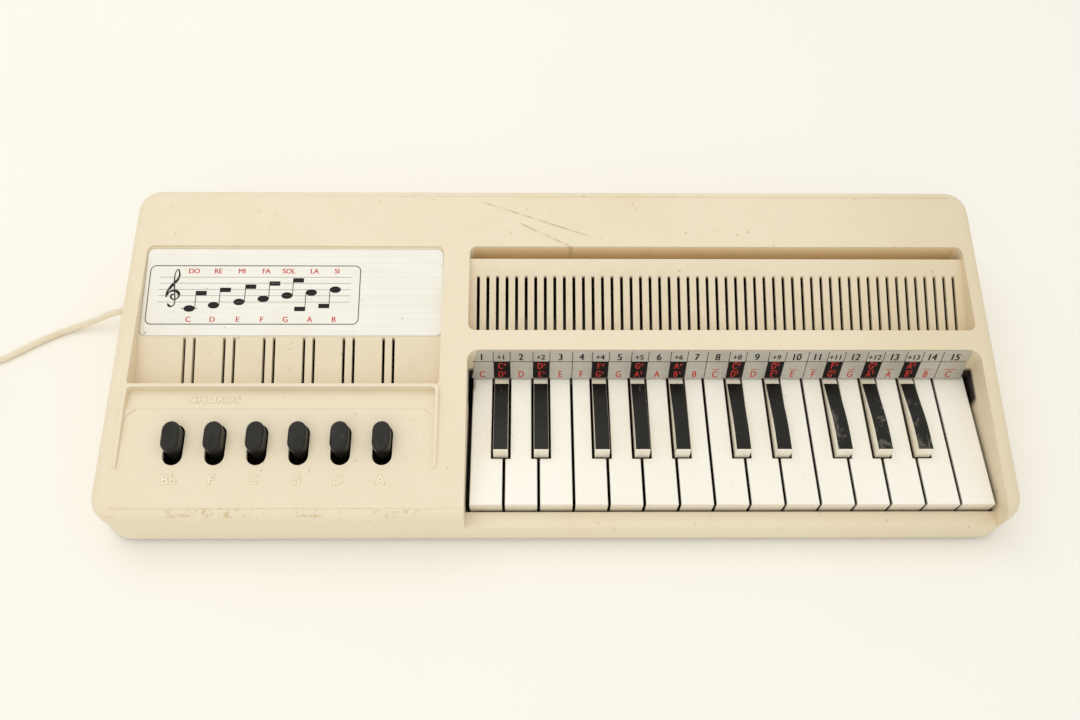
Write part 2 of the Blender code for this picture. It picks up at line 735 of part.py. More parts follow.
def make_top_case():
    """The moulded upper case: an open-bottomed shell with the key well and two sunk panels."""
    case = node("top_case", case_block(0.0, CASE_BOTTOM, CASE_EDGE_R, 4), CASE_PLASTIC)
    lip = cutter("lip", lip_block())
    cut(lip, "lip_inside", inside_lip(0.0, (PANEL_Y0 - 2 * LIP_LEG, LIP_Y0)))
    boolean(case, lip, "UNION")
    boolean(case, case_hollow())
    for index, (x, y) in enumerate(boss_places()):
        join(case, f"boss_{index + 1}", drum(
            (x, y), BOSS_RADIUS, STAND_Z, top_z(y) - WALL / 2, 12))
    well = cutter("well", profile_block(
        well_outline(), WELL_X0 - CUT_REACH, WELL_X1 + CUT_REACH))
    boolean(well, cutter("well_plan", well_plan()), "INTERSECT")
    boolean(case, well)
    cut(case, "grille_recess", pocket(
        (WELL_X0, WELL_X1), (GRILLE_Y0, RECESS_Y1), grille_floor, GRILLE_CORNER_R))
    cut(case, "grille_trench", grille_trench())
    cut(case, "panel_recess", pocket(
        (PANEL_X0, PANEL_X1), (PANEL_Y0, RECESS_Y1), panel_floor, PANEL_CORNER_R, crease=PLATE_Y0))
    cut(case, "panel_slots", panel_slots())
    cut(case, "plate_seat", plate_seat())
    cut(case, "shelf", shelf_cut())
    cut(case, "button_field", button_field())
    cut(case, "grille_slots", grille_slots())
    for index, x in enumerate(chord_centres()):
        hole = stadium(x, (HOLE_Y0, HOLE_Y1), (COVER_TOP, CUT_TOP), CHORD_HOLE_WIDTH)
        cut(case, f"chord_hole_{index + 1}", hole)
    for index, (x, y) in enumerate(boss_places()):
        depth = SCREW_LENGTH + SEAT_GAP
        cut(case, f"boss_hole_{index + 1}", drum(
            (x, y), SCREW_RADIUS + SCREW_GAP, CASE_BOTTOM, CASE_BOTTOM + depth, 12))
    cut(case, "relief_hole", drum(
        (RELIEF_Y, RELIEF_HEIGHT), RELIEF_ROOT_RADIUS + SEAT_GAP, LEFT_X - RELIEF_INSIDE,
        LEFT_X + WALL + RELIEF_INSIDE, 16, axis="X"))
    return case


def plate_seat():
    """The shallow seat that the chart plate lies in."""
    y0, y1 = PLATE_Y0, RECESS_Y1 - PLATE_BACK_MARGIN + SEAT_GAP
    bm = rounded_box(
        (PANEL_X0 + PLATE_SIDE_MARGIN - SEAT_GAP, PANEL_X1 - PLATE_SIDE_MARGIN + SEAT_GAP),
        (y0, y1), (0.0, CUT_TOP), PLATE_CORNER_R, 3)
    for vert in bottom_verts(bm):
        vert.co.z = plate_floor(vert.co.y, PLATE_THICKNESS + SEAT_GAP)
    return bm


def trench_floor():
    """Height of the floor of the trench behind the grille panel."""
    return top_z(RECESS_Y1) - GRILLE_TRENCH_DEPTH


def grille_trench():
    """The deep trench between the grille panel's upper edge and the recess's back wall."""
    bm = box(
        (WELL_X0 + FACE_STEP, RECESS_Y1 - GRILLE_TRENCH_WIDTH, trench_floor()),
        (WELL_X1 - FACE_STEP, RECESS_Y1 - FACE_STEP, CUT_TOP))
    rear = upright_edges(bm, lambda e: e.verts[0].co.y > RECESS_Y1 - GRILLE_TRENCH_WIDTH / 2)
    round_edges(bm, rear, GRILLE_CORNER_R, 3)
    return bm


def grille_slots():
    """The upright slots in the grille panel."""
    first = WELL_X0 + GRILLE_SLOT_MARGIN
    last = WELL_X1 - GRILLE_SLOT_RIGHT_MARGIN
    pitch = (last - first) / (GRILLE_SLOTS - 1)
    y0 = GRILLE_Y0 + SLOT_END_GAP
    y1 = RECESS_Y1 - GRILLE_TRENCH_WIDTH - GRILLE_SLOT_TOP_MARGIN
    half = GRILLE_SLOT_WIDTH / 2
    low, high = grille_floor(y0) - 3 * WALL, grille_floor(y1) + WALL
    return boxes([
        ((first + pitch * i - half, y0, low), (first + pitch * i + half, y1, high))
        for i in range(GRILLE_SLOTS)
    ])


def panel_slots():
    """The six pairs of slots under the chart plate."""
    first = PANEL_X0 + PANEL_SLOT_LEFT_MARGIN
    pitch = (PANEL_X1 - PANEL_SLOT_RIGHT_MARGIN - first) / (CHORD_COUNT - 1)
    half = PANEL_SLOT_WIDTH / 2
    y0, y1 = PANEL_Y0 + SLOT_END_GAP, PLATE_Y0 - SLOT_END_GAP
    low, high = panel_floor(y0) - 3 * WALL, panel_floor(y1) + WALL
    corners = []
    for pair in range(CHORD_COUNT):
        for side in (-1, 1):
            x = first + pitch * pair + side * PANEL_SLOT_SPREAD / 2
            corners.append(((x - half, y0, low), (x + half, y1, high)))
    return boxes(corners)


make_top_case()


# Bottom cover, screws and feet


def foot_places():
    across = CASE_WIDTH / 2 - FOOT_INSET
    along = CASE_DEPTH / 2 - FOOT_INSET
    return [(sx * across, sy * along) for sx in (-1, 1) for sy in (-1, 1)]


def make_bottom_cover():
    inset = WALL + SEAT_GAP
    across = CASE_WIDTH / 2 - inset
    along = CASE_DEPTH / 2 - inset
    cover = node("bottom_cover", rounded_box(
        (-across, across), (-along, along), (CASE_BOTTOM, COVER_TOP), CASE_CORNER_R - inset),
        COVER_PLASTIC)
    below = CASE_BOTTOM - CUT_PAST
    for index, (x, y) in enumerate(boss_places()):
        cut(cover, f"screw_hole_{index + 1}", drum(
            (x, y), SCREW_RADIUS + SCREW_GAP, below, COVER_TOP + CUT_PAST, 12))
        cut(cover, f"screw_sink_{index + 1}", drum(
            (x, y), SCREW_HEAD_RADIUS + SCREW_GAP, below, CASE_BOTTOM + SCREW_HEAD_HEIGHT, 16))
    for index, (x, y) in enumerate(foot_places()):
        cut(cover, f"peg_hole_{index + 1}", drum(
            (x, y), PEG_RADIUS + SEAT_GAP, below, COVER_TOP + CUT_PAST, 12))
    first = FAN_X - INTAKE_SLOT_PITCH * (INTAKE_SLOTS - 1) / 2
    for index in range(INTAKE_SLOTS):
        x = first + INTAKE_SLOT_PITCH * index
        cut(cover, f"intake_{index + 1}", box(
            (x - INTAKE_SLOT_WIDTH / 2, FAN_Y - INTAKE_SLOT_LENGTH / 2, below),
            (x + INTAKE_SLOT_WIDTH / 2, FAN_Y + INTAKE_SLOT_LENGTH / 2, COVER_TOP + CUT_PAST)))
    return cover


def make_screws():
    """Case screws: the head sits in the cover and the shank goes up into the case's boss."""
    for index, (x, y) in enumerate(boss_places()):
        head_top = CASE_BOTTOM + SCREW_HEAD_HEIGHT - SEAT_GAP
        screw = node(f"case_screw_{index + 1}", drum(
            (x, y), SCREW_HEAD_RADIUS, CASE_BOTTOM, head_top, 16), SPRING_STEEL)
        join(screw, f"screw_shank_{index + 1}", drum(
            (x, y), SCREW_RADIUS, head_top - JOIN_SINK, CASE_BOTTOM + SCREW_LENGTH, 10))
        cut(screw, f"screw_slot_{index + 1}", box(
            (x - SCREW_HEAD_RADIUS - CUT_PAST, y - SEAT_GAP, CASE_BOTTOM - CUT_PAST),
            (x + SCREW_HEAD_RADIUS + CUT_PAST, y + SEAT_GAP, CASE_BOTTOM + 2 * SEAT_GAP)))


def make_feet():
    """Rubber feet, each with a peg pushed into the bottom cover."""
    for index, (x, y) in enumerate(foot_places()):
        foot = node(f"foot_{index + 1}", drum(
            (x, y), FOOT_RADIUS - FOOT_TAPER, 0.0, FOOT_HEIGHT, 20, tip_radius=FOOT_RADIUS), RUBBER)
        join(foot, f"foot_peg_{index + 1}", drum(
            (x, y), PEG_RADIUS, FOOT_HEIGHT - JOIN_SINK, COVER_TOP, 12))


make_bottom_cover()
make_screws()
make_feet()


# Chart plate and label strip


def make_chart_plate():
    y1 = RECESS_Y1 - PLATE_BACK_MARGIN
    y0 = PLATE_Y0 + SEAT_GAP
    bm = rounded_box(
        (PANEL_X0 + PLATE_SIDE_MARGIN, PANEL_X1 - PLATE_SIDE_MARGIN), (y0, y1), (0.0, 1.0),
        PLATE_CORNER_R, 3)
    for vert in bm.verts:
        drop = 0.0 if vert.co.z > 0.5 else PLATE_THICKNESS
        vert.co.z = plate_floor(vert.co.y, drop)
    return node("chart_plate", bm, PLATE_METAL)


def make_label_strip():
    """The strip over the keys' backs, on its sloping bed; its left end is cut at a slant."""
    foot, _, _ = strip_frame()
    x0, x1 = WELL_X0 + STRIP_LEFT_GAP, WELL_X1 - STRIP_RIGHT_GAP
    length = strip_length()
    bm = box((x0, 0.0, -STRIP_THICKNESS), (x1, length, 0.0))
    for vert in bm.verts:
        if vert.co.x < (x0 + x1) / 2 and vert.co.y > length / 2:
            vert.co.x += STRIP_TOP_INSET
    bm.transform(Matrix.Translation(foot) @ Matrix.Rotation(STRIP_TILT, 4, "X"))
    return node("key_label_strip", bm, STRIP_METAL)


make_chart_plate()
make_label_strip()


# Keys

PIVOT = (PIVOT_Y, PIVOT_Z)
BORE_RADIUS = PIVOT_RADIUS + RUN_GAP


def key_bore():
    """The hole for the pivot rod through every key."""
    return drum(PIVOT, BORE_RADIUS, WELL_X0 - CUT_REACH, WELL_X1 + CUT_REACH, 12, axis="X")


BORE = cutter("key_bore", key_bore())


def make_white_key(index):
    """A white key: a hollow head with a deep front lip, then a narrow beam to the pivot and tail."""
    left = KEYS_X0 + index * KEY_PITCH + KEY_GAP / 2
    right = left + KEY_PITCH - KEY_GAP
    neck_left, neck_right = white_neck(index)
    bm = box((left, KEY_Y0, KEY_TOP - KEY_LIP), (right, TAIL_Y1, KEY_TOP))
    rim = [e for e in bm.edges if min(v.co.z for v in e.verts) > KEY_TOP - 1e-3]
    rim = [e for e in rim if min(v.co.y for v in e.verts) < KEY_Y0 + 1e-3]
    round_edges(bm, rim, KEY_EDGE_R, 1)
    key = node(f"white_key_{index + 1:02d}", bm, KEY_PLASTIC, (0, PIVOT_Y, PIVOT_Z))
    under = KEY_TOP - KEY_LIP - CUT_PAST
    hollow_y1 = NOTCH_Y0 - KEY_SKIN
    cut(key, f"white_head_{index + 1}", box(
        (left + KEY_SKIN, KEY_Y0 + KEY_SKIN, under), (right - KEY_SKIN, hollow_y1, KEY_TOP - KEY_SKIN)))
    cut(key, f"white_under_{index + 1}", box(
        (left - CUT_PAST, NOTCH_Y0, under), (right + CUT_PAST, TAIL_Y1 + CUT_PAST, KEY_BEAM_BOTTOM)))
    above = KEY_TOP + CUT_PAST
    if neck_left > left:
        cut(key, f"white_left_{index + 1}", box(
            (left - CUT_PAST, NOTCH_Y0, under), (neck_left, TAIL_Y1 + CUT_PAST, above)))
    if neck_right < right:
        cut(key, f"white_right_{index + 1}", box(
            (neck_right, NOTCH_Y0, under), (right + CUT_PAST, TAIL_Y1 + CUT_PAST, above)))
    tail_y0, tail_y1 = STRIP_Y + TAIL_START, TAIL_Y1 + 2 * CUT_PAST
    low, high = under - CUT_PAST, above + CUT_PAST
    cut(key, f"white_tail_{index + 1}", boxes([
        ((left - CUT_PAST, tail_y0, low), (neck_left + TAIL_RELIEF, tail_y1, high)),
        ((neck_right - TAIL_RELIEF, tail_y0, low), (right + CUT_PAST, tail_y1, high)),
    ]))
    boolean(key, BORE)
    return key


def make_black_key(number, centre):
    """A black key: a raised head, level at the front and sinking to the back, on a beam and tail."""
    y0 = NOTCH_Y0 + BLACK_FRONT_GAP
    y1 = y0 + BLACK_HEAD_LENGTH
    top = KEY_TOP + BLACK_HEIGHT
    left, right = centre - BLACK_WIDTH / 2, centre + BLACK_WIDTH / 2
    outline = [
        (y0, KEY_BEAM_BOTTOM),
        (y0, KEY_TOP),
        (y0 + BLACK_SLOPE_RUN, top),
        (y0 + BLACK_CREST, top),
        (y1, KEY_TOP + BLACK_BACK_HEIGHT),
        (y1, KEY_TOP),
        (TAIL_Y1, KEY_TOP),
        (TAIL_Y1, KEY_BEAM_BOTTOM),
    ]
    bm = profile_block(outline, left, right)
    across = [e for e in bm.edges if abs(e.verts[0].co.x - e.verts[1].co.x) > BLACK_WIDTH / 2]
    crest = [e for e in across if abs(e.verts[0].co.y - y0 - BLACK_CREST) < 1e-3]
    round_edges(bm, crest, BLACK_CREST_R, 3)
    rim = []
    for edge in bm.edges:
        a, b = edge.verts[0].co, edge.verts[1].co
        along = abs(a.x - b.x) < 1e-3
        front = max(a.y, b.y) < y0 + BLACK_SLOPE_RUN + 1e-3 and min(a.z, b.z) > top - 1e-3
        if front or (along and min(a.z, b.z) > KEY_TOP + BLACK_BACK_HEIGHT - 1e-3):
            rim.append(edge)
    round_edges(bm, rim, KEY_EDGE_R, 1)
    key = node(f"black_key_{number:02d}", bm, SHARP_PLASTIC, (0, PIVOT_Y, PIVOT_Z))
    boolean(key, BORE)
    return key


for white in range(WHITE_COUNT):
    make_white_key(white)
for number, centre in enumerate(black_centres()):
    make_black_key(number + 1, centre)


# Key frame, pivot rod and springs


def make_key_frame():
    """A moulded frame on the bottom cover, with ears for the pivot rod and a stop for the keys."""
    ears = ear_places()
    x0, x1 = ears[0] - EAR_THICKNESS / 2, ears[-1] + EAR_THICKNESS / 2
    y0, y1 = KEY_Y0 + FRAME_FRONT_REACH, PIVOT_Y + FRAME_BACK_REACH
    z0, z1 = STAND_Z, STAND_Z + FRAME_THICKNESS
    frame = node("key_frame", box((x0, y0, z0), (x1, y1, z1)), CHEST_PLASTIC)
    join(frame, "frame_stop", box(
        (x0 + EAR_THICKNESS, y0 + SEAT_GAP, z1 - JOIN_SINK),
        (x1 - EAR_THICKNESS, y0 + STOP_WIDTH, z1 + STOP_HEIGHT)))
    ear_y0, ear_y1 = PIVOT_Y - EAR_LENGTH / 2, PIVOT_Y + EAR_LENGTH / 2
    half = EAR_THICKNESS / 2
    inset = SEAT_GAP / 10
    join(frame, "frame_ears", boxes([
        ((x - half + inset, ear_y0, z1 - JOIN_SINK), (x + half - inset, ear_y1, PIVOT_Z + EAR_TOP))
        for x in ears]))
    cut(frame, "frame_bore", drum(
        PIVOT, PIVOT_RADIUS + SEAT_GAP, x0 - CUT_PAST, x1 + CUT_PAST, 12, axis="X"))
    return frame


def make_pivot_rod(name, places, centre, radius):
    """A steel rod that reaches a little past its outer ears."""
    x0 = places[0] - EAR_THICKNESS / 2 - ROD_END
    x1 = places[-1] + EAR_THICKNESS / 2 + ROD_END
    return node(name, drum(centre, radius, x0, x1, 12, axis="X"), SPRING_STEEL)


def make_comb(name, centres, beam_y, level, tip_z, finger_length, ends):
    """A spring comb: a flat steel strip with one finger for each key, bent up to its underside."""
    half = FINGER_WIDTH / 2
    bm = box((ends[0], beam_y, level), (ends[1], beam_y + COMB_BEAM, level + COMB_THICKNESS))
    for x in sorted([c - half for c in centres] + [c + half for c in centres]):
        everything = list(bm.verts) + list(bm.edges) + list(bm.faces)
        bmesh.ops.bisect_plane(bm, geom=everything, plane_co=(x, 0, 0), plane_no=(1, 0, 0))
    fronts = []
    for face in bm.faces:
        middle = face.calc_center_median()
        if face.normal.y < -0.9 and min(abs(middle.x - c) for c in centres) < half / 2:
            fronts.append(face)
    made = bmesh.ops.extrude_discrete_faces(bm, faces=fronts)
    for face in made["faces"]:
        bmesh.ops.translate(
            bm, verts=face.verts, vec=(0, -finger_length, tip_z - level - COMB_THICKNESS))
    return node(name, bm, SPRING_STEEL)


make_key_frame()
make_pivot_rod("key_pivot_rod", ear_places(), PIVOT, PIVOT_RADIUS)
make_comb(
    "key_spring_comb", tail_centres(), PIVOT_Y - EAR_LENGTH / 2 - COMB_GAP - COMB_BEAM,
    STAND_Z + FRAME_THICKNESS + SEAT_GAP,
    KEY_BEAM_BOTTOM - SEAT_GAP, KEY_FINGER_LENGTH, (KEYS_X0, KEYS_X0 + WHITE_COUNT * KEY_PITCH))


# Wind chest and reed plate of the keys


def make_chest(name, x_range, y_range, top):
    """An open tray that holds the wind under a reed plate."""
    low = (x_range[0], y_range[0], STAND_Z)
    high = (x_range[1], y_range[1], top)
    chest = node(name, box(low, high), CHEST_PLASTIC)
    inset = Vector((CHEST_WALL, CHEST_WALL, CHEST_WALL))
    inside_high = Vector((x_range[1] - CHEST_WALL, y_range[1] - CHEST_WALL, top + CUT_PAST))
    cut(chest, name + "_inside", box(Vector(low) + inset, inside_high))
    return chest


def make_reed_plate(name, x_range, y_range, bottom, slots, slot_y):
    """A metal plate with one slot for each reed."""
    plate = node(name, box(
        (x_range[0], y_range[0], bottom), (x_range[1], y_range[1], bottom + REED_PLATE_THICKNESS)),
        REED_METAL)
    half = REED_SLOT_WIDTH / 2
    cut(plate, name + "_slots", boxes([
        ((x - half, slot_y - REED_SLOT_LENGTH / 2, bottom - CUT_PAST),
         (x + half, slot_y + REED_SLOT_LENGTH / 2, bottom + REED_PLATE_THICKNESS + CUT_PAST))
        for x in slots]))
    return plate


CHEST_X = (KEYS_X0 - CHEST_END_MARGIN, KEYS_X0 + WHITE_COUNT * KEY_PITCH + CHEST_END_MARGIN)
CHEST_Y = (TAIL_Y1 - CHEST_DEPTH + CHEST_WALL, TAIL_Y1 + CHEST_WALL)
make_chest("key_wind_chest", CHEST_X, CHEST_Y, CHEST_TOP)
make_reed_plate(
    "key_reed_plate", CHEST_X, CHEST_Y, CHEST_TOP + SEAT_GAP, tail_centres(), sum(CHEST_Y) / 2)


# Chord levers, with their chest, rod, springs and reed plate

CHORD_EARS = lever_ear_places()
CHORD_X = (CHORD_EARS[0] - EAR_THICKNESS, CHORD_EARS[-1] + EAR_THICKNESS)
PAD_Y1 = LEVER_PIVOT_Y + LEVER_TAIL
PAD_Y0 = PAD_Y1 - PAD_LENGTH
CHORD_CHEST_Y = (PAD_Y0 - 3 * SEAT_GAP - CHEST_WALL, PAD_Y1 + 3 * SEAT_GAP + CHEST_WALL)
LEVER_PIVOT = (LEVER_PIVOT_Y, LEVER_PIVOT_Z)


def make_chord_lever(index, x):
    """A chord button: an upright cap on a lever that lifts a pad off three reeds."""
    middle = (CAP_Y0 + CAP_Y1) / 2
    top = top_z(middle) + CAP_PROUD
    bm = rounded_box(
        (x - CAP_WIDTH / 2, x + CAP_WIDTH / 2), (CAP_Y0, CAP_Y1), (top - CAP_HEIGHT, top),
        CAP_WIDTH / 2 - ROUND_END_FLAT, 4)
    upper = [v for v in bm.verts if v.co.z > top - 1e-3]
    for vert in upper:
        vert.co.z = top_z(vert.co.y) + CAP_PROUD
    rim = [e for e in bm.edges if e.verts[0] in upper and e.verts[1] in upper]
    round_edges(bm, rim, CAP_EDGE_R, 1)
    lever = node(f"chord_button_{index + 1}", bm, BLACK_PLASTIC, (0, *LEVER_PIVOT))
    half = LEVER_WIDTH / 2
    lever_top = LEVER_BOTTOM + LEVER_HEIGHT
    join(lever, f"chord_stem_{index + 1}", box(
        (x - half, middle - half, LEVER_BOTTOM),
        (x + half, middle + half, top - CAP_HEIGHT + STEM_SINK)))
    arm, boss = half + FACE_STEP, half + LEVER_BOSS_PROUD
    join(lever, f"chord_arm_{index + 1}", box(
        (x - arm, middle - arm, LEVER_BOTTOM), (x + arm, PAD_Y1, lever_top)))
    join(lever, f"chord_hub_{index + 1}", drum(
        LEVER_PIVOT, LEVER_BOSS_RADIUS, x - boss, x + boss, 16, axis="X"))
    join(lever, f"chord_pad_{index + 1}", box(
        (x - PAD_WIDTH / 2, PAD_Y0, LEVER_BOTTOM - PAD_HEIGHT),
        (x + PAD_WIDTH / 2, PAD_Y1 + FACE_STEP, LEVER_BOTTOM + JOIN_SINK)))
    cut(lever, f"chord_bore_{index + 1}", drum(
        LEVER_PIVOT, BORE_RADIUS, x - boss - CUT_PAST, x + boss + CUT_PAST, 12, axis="X"))
    return lever


def make_chord_chest():
    """The chords' wind chest, with a front foot that carries the levers' ears."""
    chest = make_chest("chord_wind_chest", CHORD_X, CHORD_CHEST_Y, CHORD_CHEST_TOP)
    foot_y0 = LEVER_PIVOT_Y - EAR_LENGTH / 2 - COMB_BEAM - 2 * COMB_GAP
    z1 = STAND_Z + FRAME_THICKNESS
    join(chest, "chord_foot", box(
        (CHORD_X[0] + SEAT_GAP, foot_y0, STAND_Z),
        (CHORD_X[1] - SEAT_GAP, CHORD_CHEST_Y[0] + CHEST_WALL / 2, z1)))
    half = EAR_THICKNESS / 2
    ear_y0, ear_y1 = LEVER_PIVOT_Y - EAR_LENGTH / 2, LEVER_PIVOT_Y + EAR_LENGTH / 2
    join(chest, "chord_ears", boxes([
        ((x - half, ear_y0, z1 - JOIN_SINK), (x + half, ear_y1, LEVER_PIVOT_Z + EAR_TOP))
        for x in CHORD_EARS]))
    cut(chest, "chord_foot_bore", drum(
        LEVER_PIVOT, PIVOT_RADIUS + SEAT_GAP, CHORD_X[0] - CUT_PAST, CHORD_X[1] + CUT_PAST, 12,
        axis="X"))
    return chest


make_chord_chest()
CHORD_REEDS = [x + side * CHORD_REED_SPREAD for x in chord_centres() for side in (-1, 0, 1)]
make_reed_plate(
    "chord_reed_plate", CHORD_X, CHORD_CHEST_Y, CHORD_CHEST_TOP + SEAT_GAP,
    CHORD_REEDS, (PAD_Y0 + PAD_Y1) / 2)
make_pivot_rod("chord_pivot_rod", CHORD_EARS, LEVER_PIVOT, PIVOT_RADIUS)
make_comb(
    "chord_spring_comb", chord_centres(), LEVER_PIVOT_Y - EAR_LENGTH / 2 - COMB_GAP - COMB_BEAM,
    STAND_Z + FRAME_THICKNESS + SEAT_GAP, LEVER_BOTTOM - SEAT_GAP, CHORD_FINGER_LENGTH, CHORD_X)
for index, x in enumerate(chord_centres()):
    make_chord_lever(index, x)


# Fan: housing with its duct, impeller and motor


def duct_block(inset):
    """The duct: along from the fan, across to the key chest's level, and on to the chest's end.

    inset draws its walls in. The stretch across stays clear of the key frame and the rod's end.
    """
    run = DUCT_WIDTH - 2 * inset
    fan_y = FAN_Y - DUCT_SETFORWARD - run / 2
    chest_y = (CHEST_Y[0] + CHEST_Y[1] - run) / 2
    turn = ear_places()[0] - EAR_THICKNESS / 2 - ROD_END - SEAT_GAP - inset
    near, far = (turn - run, turn) if chest_y < fan_y else (turn, turn - run)
    end_x = CHEST_X[0] - SEAT_GAP + (CUT_PAST if inset else 0.0)
    outline = [(FAN_X, fan_y), (end_x, chest_y), (end_x, chest_y + run), (FAN_X, fan_y + run)]
    if abs(chest_y - fan_y) > FACE_STEP:
        outline[3:3] = [(far, chest_y + run), (far, fan_y + run)]
        outline[1:1] = [(near, fan_y), (near, chest_y)]
    return plan_block(outline, STAND_Z + inset, CHEST_TOP - DUCT_TOP_DROP - inset)


def make_fan_housing():
    """A round fan housing whose duct blows into both wind chests."""
    z0, z1 = STAND_Z, STAND_Z + FAN_HEIGHT
    housing = node("fan_housing", drum((FAN_X, FAN_Y), FAN_RADIUS, z0, z1, 40), CHEST_PLASTIC)
    join(housing, "duct_outside", duct_block(0.0))
    duct_y0 = FAN_Y - DUCT_SETFORWARD - DUCT_WIDTH / 2
    branch_x = FAN_X + BRANCH_OFFSET
    branch_y = CHORD_CHEST_Y[1] + SEAT_GAP
    join(housing, "branch_outside", box(
        (branch_x, branch_y, z0 + FACE_STEP),
        (branch_x + BRANCH_WIDTH, duct_y0 + FAN_WALL / 2, CHORD_CHEST_TOP)))
    inner = FAN_RADIUS - FAN_WALL
    cut(housing, "fan_room", drum((FAN_X, FAN_Y), inner, z0 + FAN_WALL, z1 - FAN_WALL, 40))
    cut(housing, "duct_inside", duct_block(FAN_WALL))
    cut(housing, "branch_inside", box(
        (branch_x + FAN_WALL, branch_y - CUT_PAST, z0 + FAN_WALL + FACE_STEP),
        (branch_x + BRANCH_WIDTH - FAN_WALL, duct_y0 + FAN_WALL + CUT_PAST,
         CHORD_CHEST_TOP - FAN_WALL)))
    cut(housing, "fan_eye", drum(
        (FAN_X, FAN_Y), FAN_EYE_RADIUS, z0 - CUT_PAST, z0 + FAN_WALL + CUT_PAST, 24))
    cut(housing, "shaft_hole", drum(
        (FAN_X, FAN_Y), SHAFT_RADIUS + 2 * SEAT_GAP, z1 - FAN_WALL - CUT_PAST, z1 + CUT_PAST, 16))
    return housing


def make_impeller():
    """The fan wheel: a plate with curved blades under it, and the shaft that the motor turns."""
    top = STAND_Z + FAN_HEIGHT - FAN_WALL - IMPELLER_TOP_GAP
    plate_z = top - IMPELLER_PLATE
    wheel = node(
        "fan_impeller", drum((FAN_X, FAN_Y), IMPELLER_RADIUS, plate_z, top, 32), CHEST_PLASTIC,
        (FAN_X, FAN_Y, top))
    low = plate_z - BLADE_HEIGHT
    for blade in range(IMPELLER_BLADES):
        turn = 2 * math.pi * blade / IMPELLER_BLADES
        length = IMPELLER_RADIUS - BLADE_TIP_GAP - BLADE_ROOT_RADIUS
        bm = box(
            (0.0, -BLADE_THICKNESS / 2, low), (length, BLADE_THICKNESS / 2, plate_z + JOIN_SINK))
        lean = Matrix.Translation((BLADE_ROOT_RADIUS, 0, 0)) @ Matrix.Rotation(BLADE_LEAN, 4, "Z")
        shift = Matrix.Translation((FAN_X, FAN_Y, 0))
        bm.transform(shift @ Matrix.Rotation(turn, 4, "Z") @ lean)
        join(wheel, f"blade_{blade + 1}", bm)
    join(wheel, "fan_hub", drum(
        (FAN_X, FAN_Y), IMPELLER_HUB_RADIUS, plate_z - IMPELLER_HUB_HEIGHT, plate_z + JOIN_SINK, 20))
    join(wheel, "fan_shaft", drum(
        (FAN_X, FAN_Y), SHAFT_RADIUS, top - JOIN_SINK, MOTOR_Z0 + MOTOR_HEIGHT / 2, 12))
    return wheel


def make_motor():
    """The mains motor over the housing, with a bearing bell on top and a bore for the shaft."""
    motor = node(
        "fan_motor", drum((FAN_X, FAN_Y), MOTOR_RADIUS, MOTOR_Z0, MOTOR_Z0 + MOTOR_HEIGHT, 32),
        MOTOR_METAL)
    join(motor, "motor_bell", drum(
        (FAN_X, FAN_Y), MOTOR_BELL_RADIUS, MOTOR_Z0 + MOTOR_HEIGHT - JOIN_SINK,
        MOTOR_Z0 + MOTOR_HEIGHT + MOTOR_BELL_HEIGHT, 20))
    cut(motor, "motor_bore", drum(
        (FAN_X, FAN_Y), SHAFT_RADIUS + SEAT_GAP, MOTOR_Z0 - CUT_PAST,
        MOTOR_Z0 + MOTOR_HEIGHT / 2 + SEAT_GAP, 16))
    return motor


make_fan_housing()
make_impeller()
make_motor()


# Mains cord with its strain relief, coil, tie and plug

CORD_RADIUS = CORD_DIAMETER / 2
CORD_PITCH = CORD_DIAMETER + COIL_GAP
CORD_BASE = CORD_RADIUS + FLOOR_GAP
COIL_BASE = CORD_RADIUS + TIE_THICKNESS + SEAT_GAP
COIL_INNER = COIL_MID_RADIUS - CORD_PITCH * COIL_LOOPS / 2
COIL_OUTER = COIL_MID_RADIUS + CORD_PITCH * COIL_LOOPS / 2


def make_strain_relief():
    """A tapered sleeve on the left wall, with a flange outside and a neck through the hole."""
    flange_x = LEFT_X - SEAT_GAP
    relief = node("strain_relief", drum(
        (RELIEF_Y, RELIEF_HEIGHT), RELIEF_FLANGE_RADIUS, flange_x - RELIEF_FLANGE, flange_x, 20,
        axis="X"), CORD_PLASTIC)
    join(relief, "relief_neck", drum(
        (RELIEF_Y, RELIEF_HEIGHT), RELIEF_ROOT_RADIUS, flange_x - JOIN_SINK, LEFT_X + RELIEF_INSIDE, 20,
        axis="X"))
    join(relief, "relief_sleeve", drum(
        (RELIEF_Y, RELIEF_HEIGHT), RELIEF_TIP_RADIUS, flange_x - RELIEF_LENGTH,
        flange_x - RELIEF_FLANGE + JOIN_SINK, 20, tip_radius=RELIEF_ROOT_RADIUS, axis="X"))
    return relief


def smooth_route(points, spacing):
    """Points about spacing apart on a smooth curve through the given ones."""
    route = [Vector(p) for p in points]
    ends = [route[0] * 2 - route[1]] + route + [route[-1] * 2 - route[-2]]
    found = [route[0]]
    for i in range(1, len(ends) - 2):
        a, b, c, d = ends[i - 1 : i + 3]
        steps = max(1, round((c - b).length / spacing))
        for step in range(1, steps + 1):
            t = step / steps
            found.append(0.5 * (
                2 * b + (c - a) * t + (2 * a - 5 * b + 4 * c - d) * t * t
                + (3 * b - 3 * c + d - a) * t * t * t))
    return found


def tube(name, points, radius, resolution, made_of):
    curve = bpy.data.curves.new(name, "CURVE")
    curve.dimensions = "3D"
    curve.bevel_depth = radius * MM
    curve.bevel_resolution = resolution
    curve.use_fill_caps = True
    spline = curve.splines.new("POLY")
    spline.points.add(len(points) - 1)
    for point, place in zip(spline.points, points):
        point.co = (*(place * MM), 1.0)
    curve.materials.append(made_of)
    made = bpy.data.objects.new(name, curve)
    PARTS.objects.link(made)
    return made


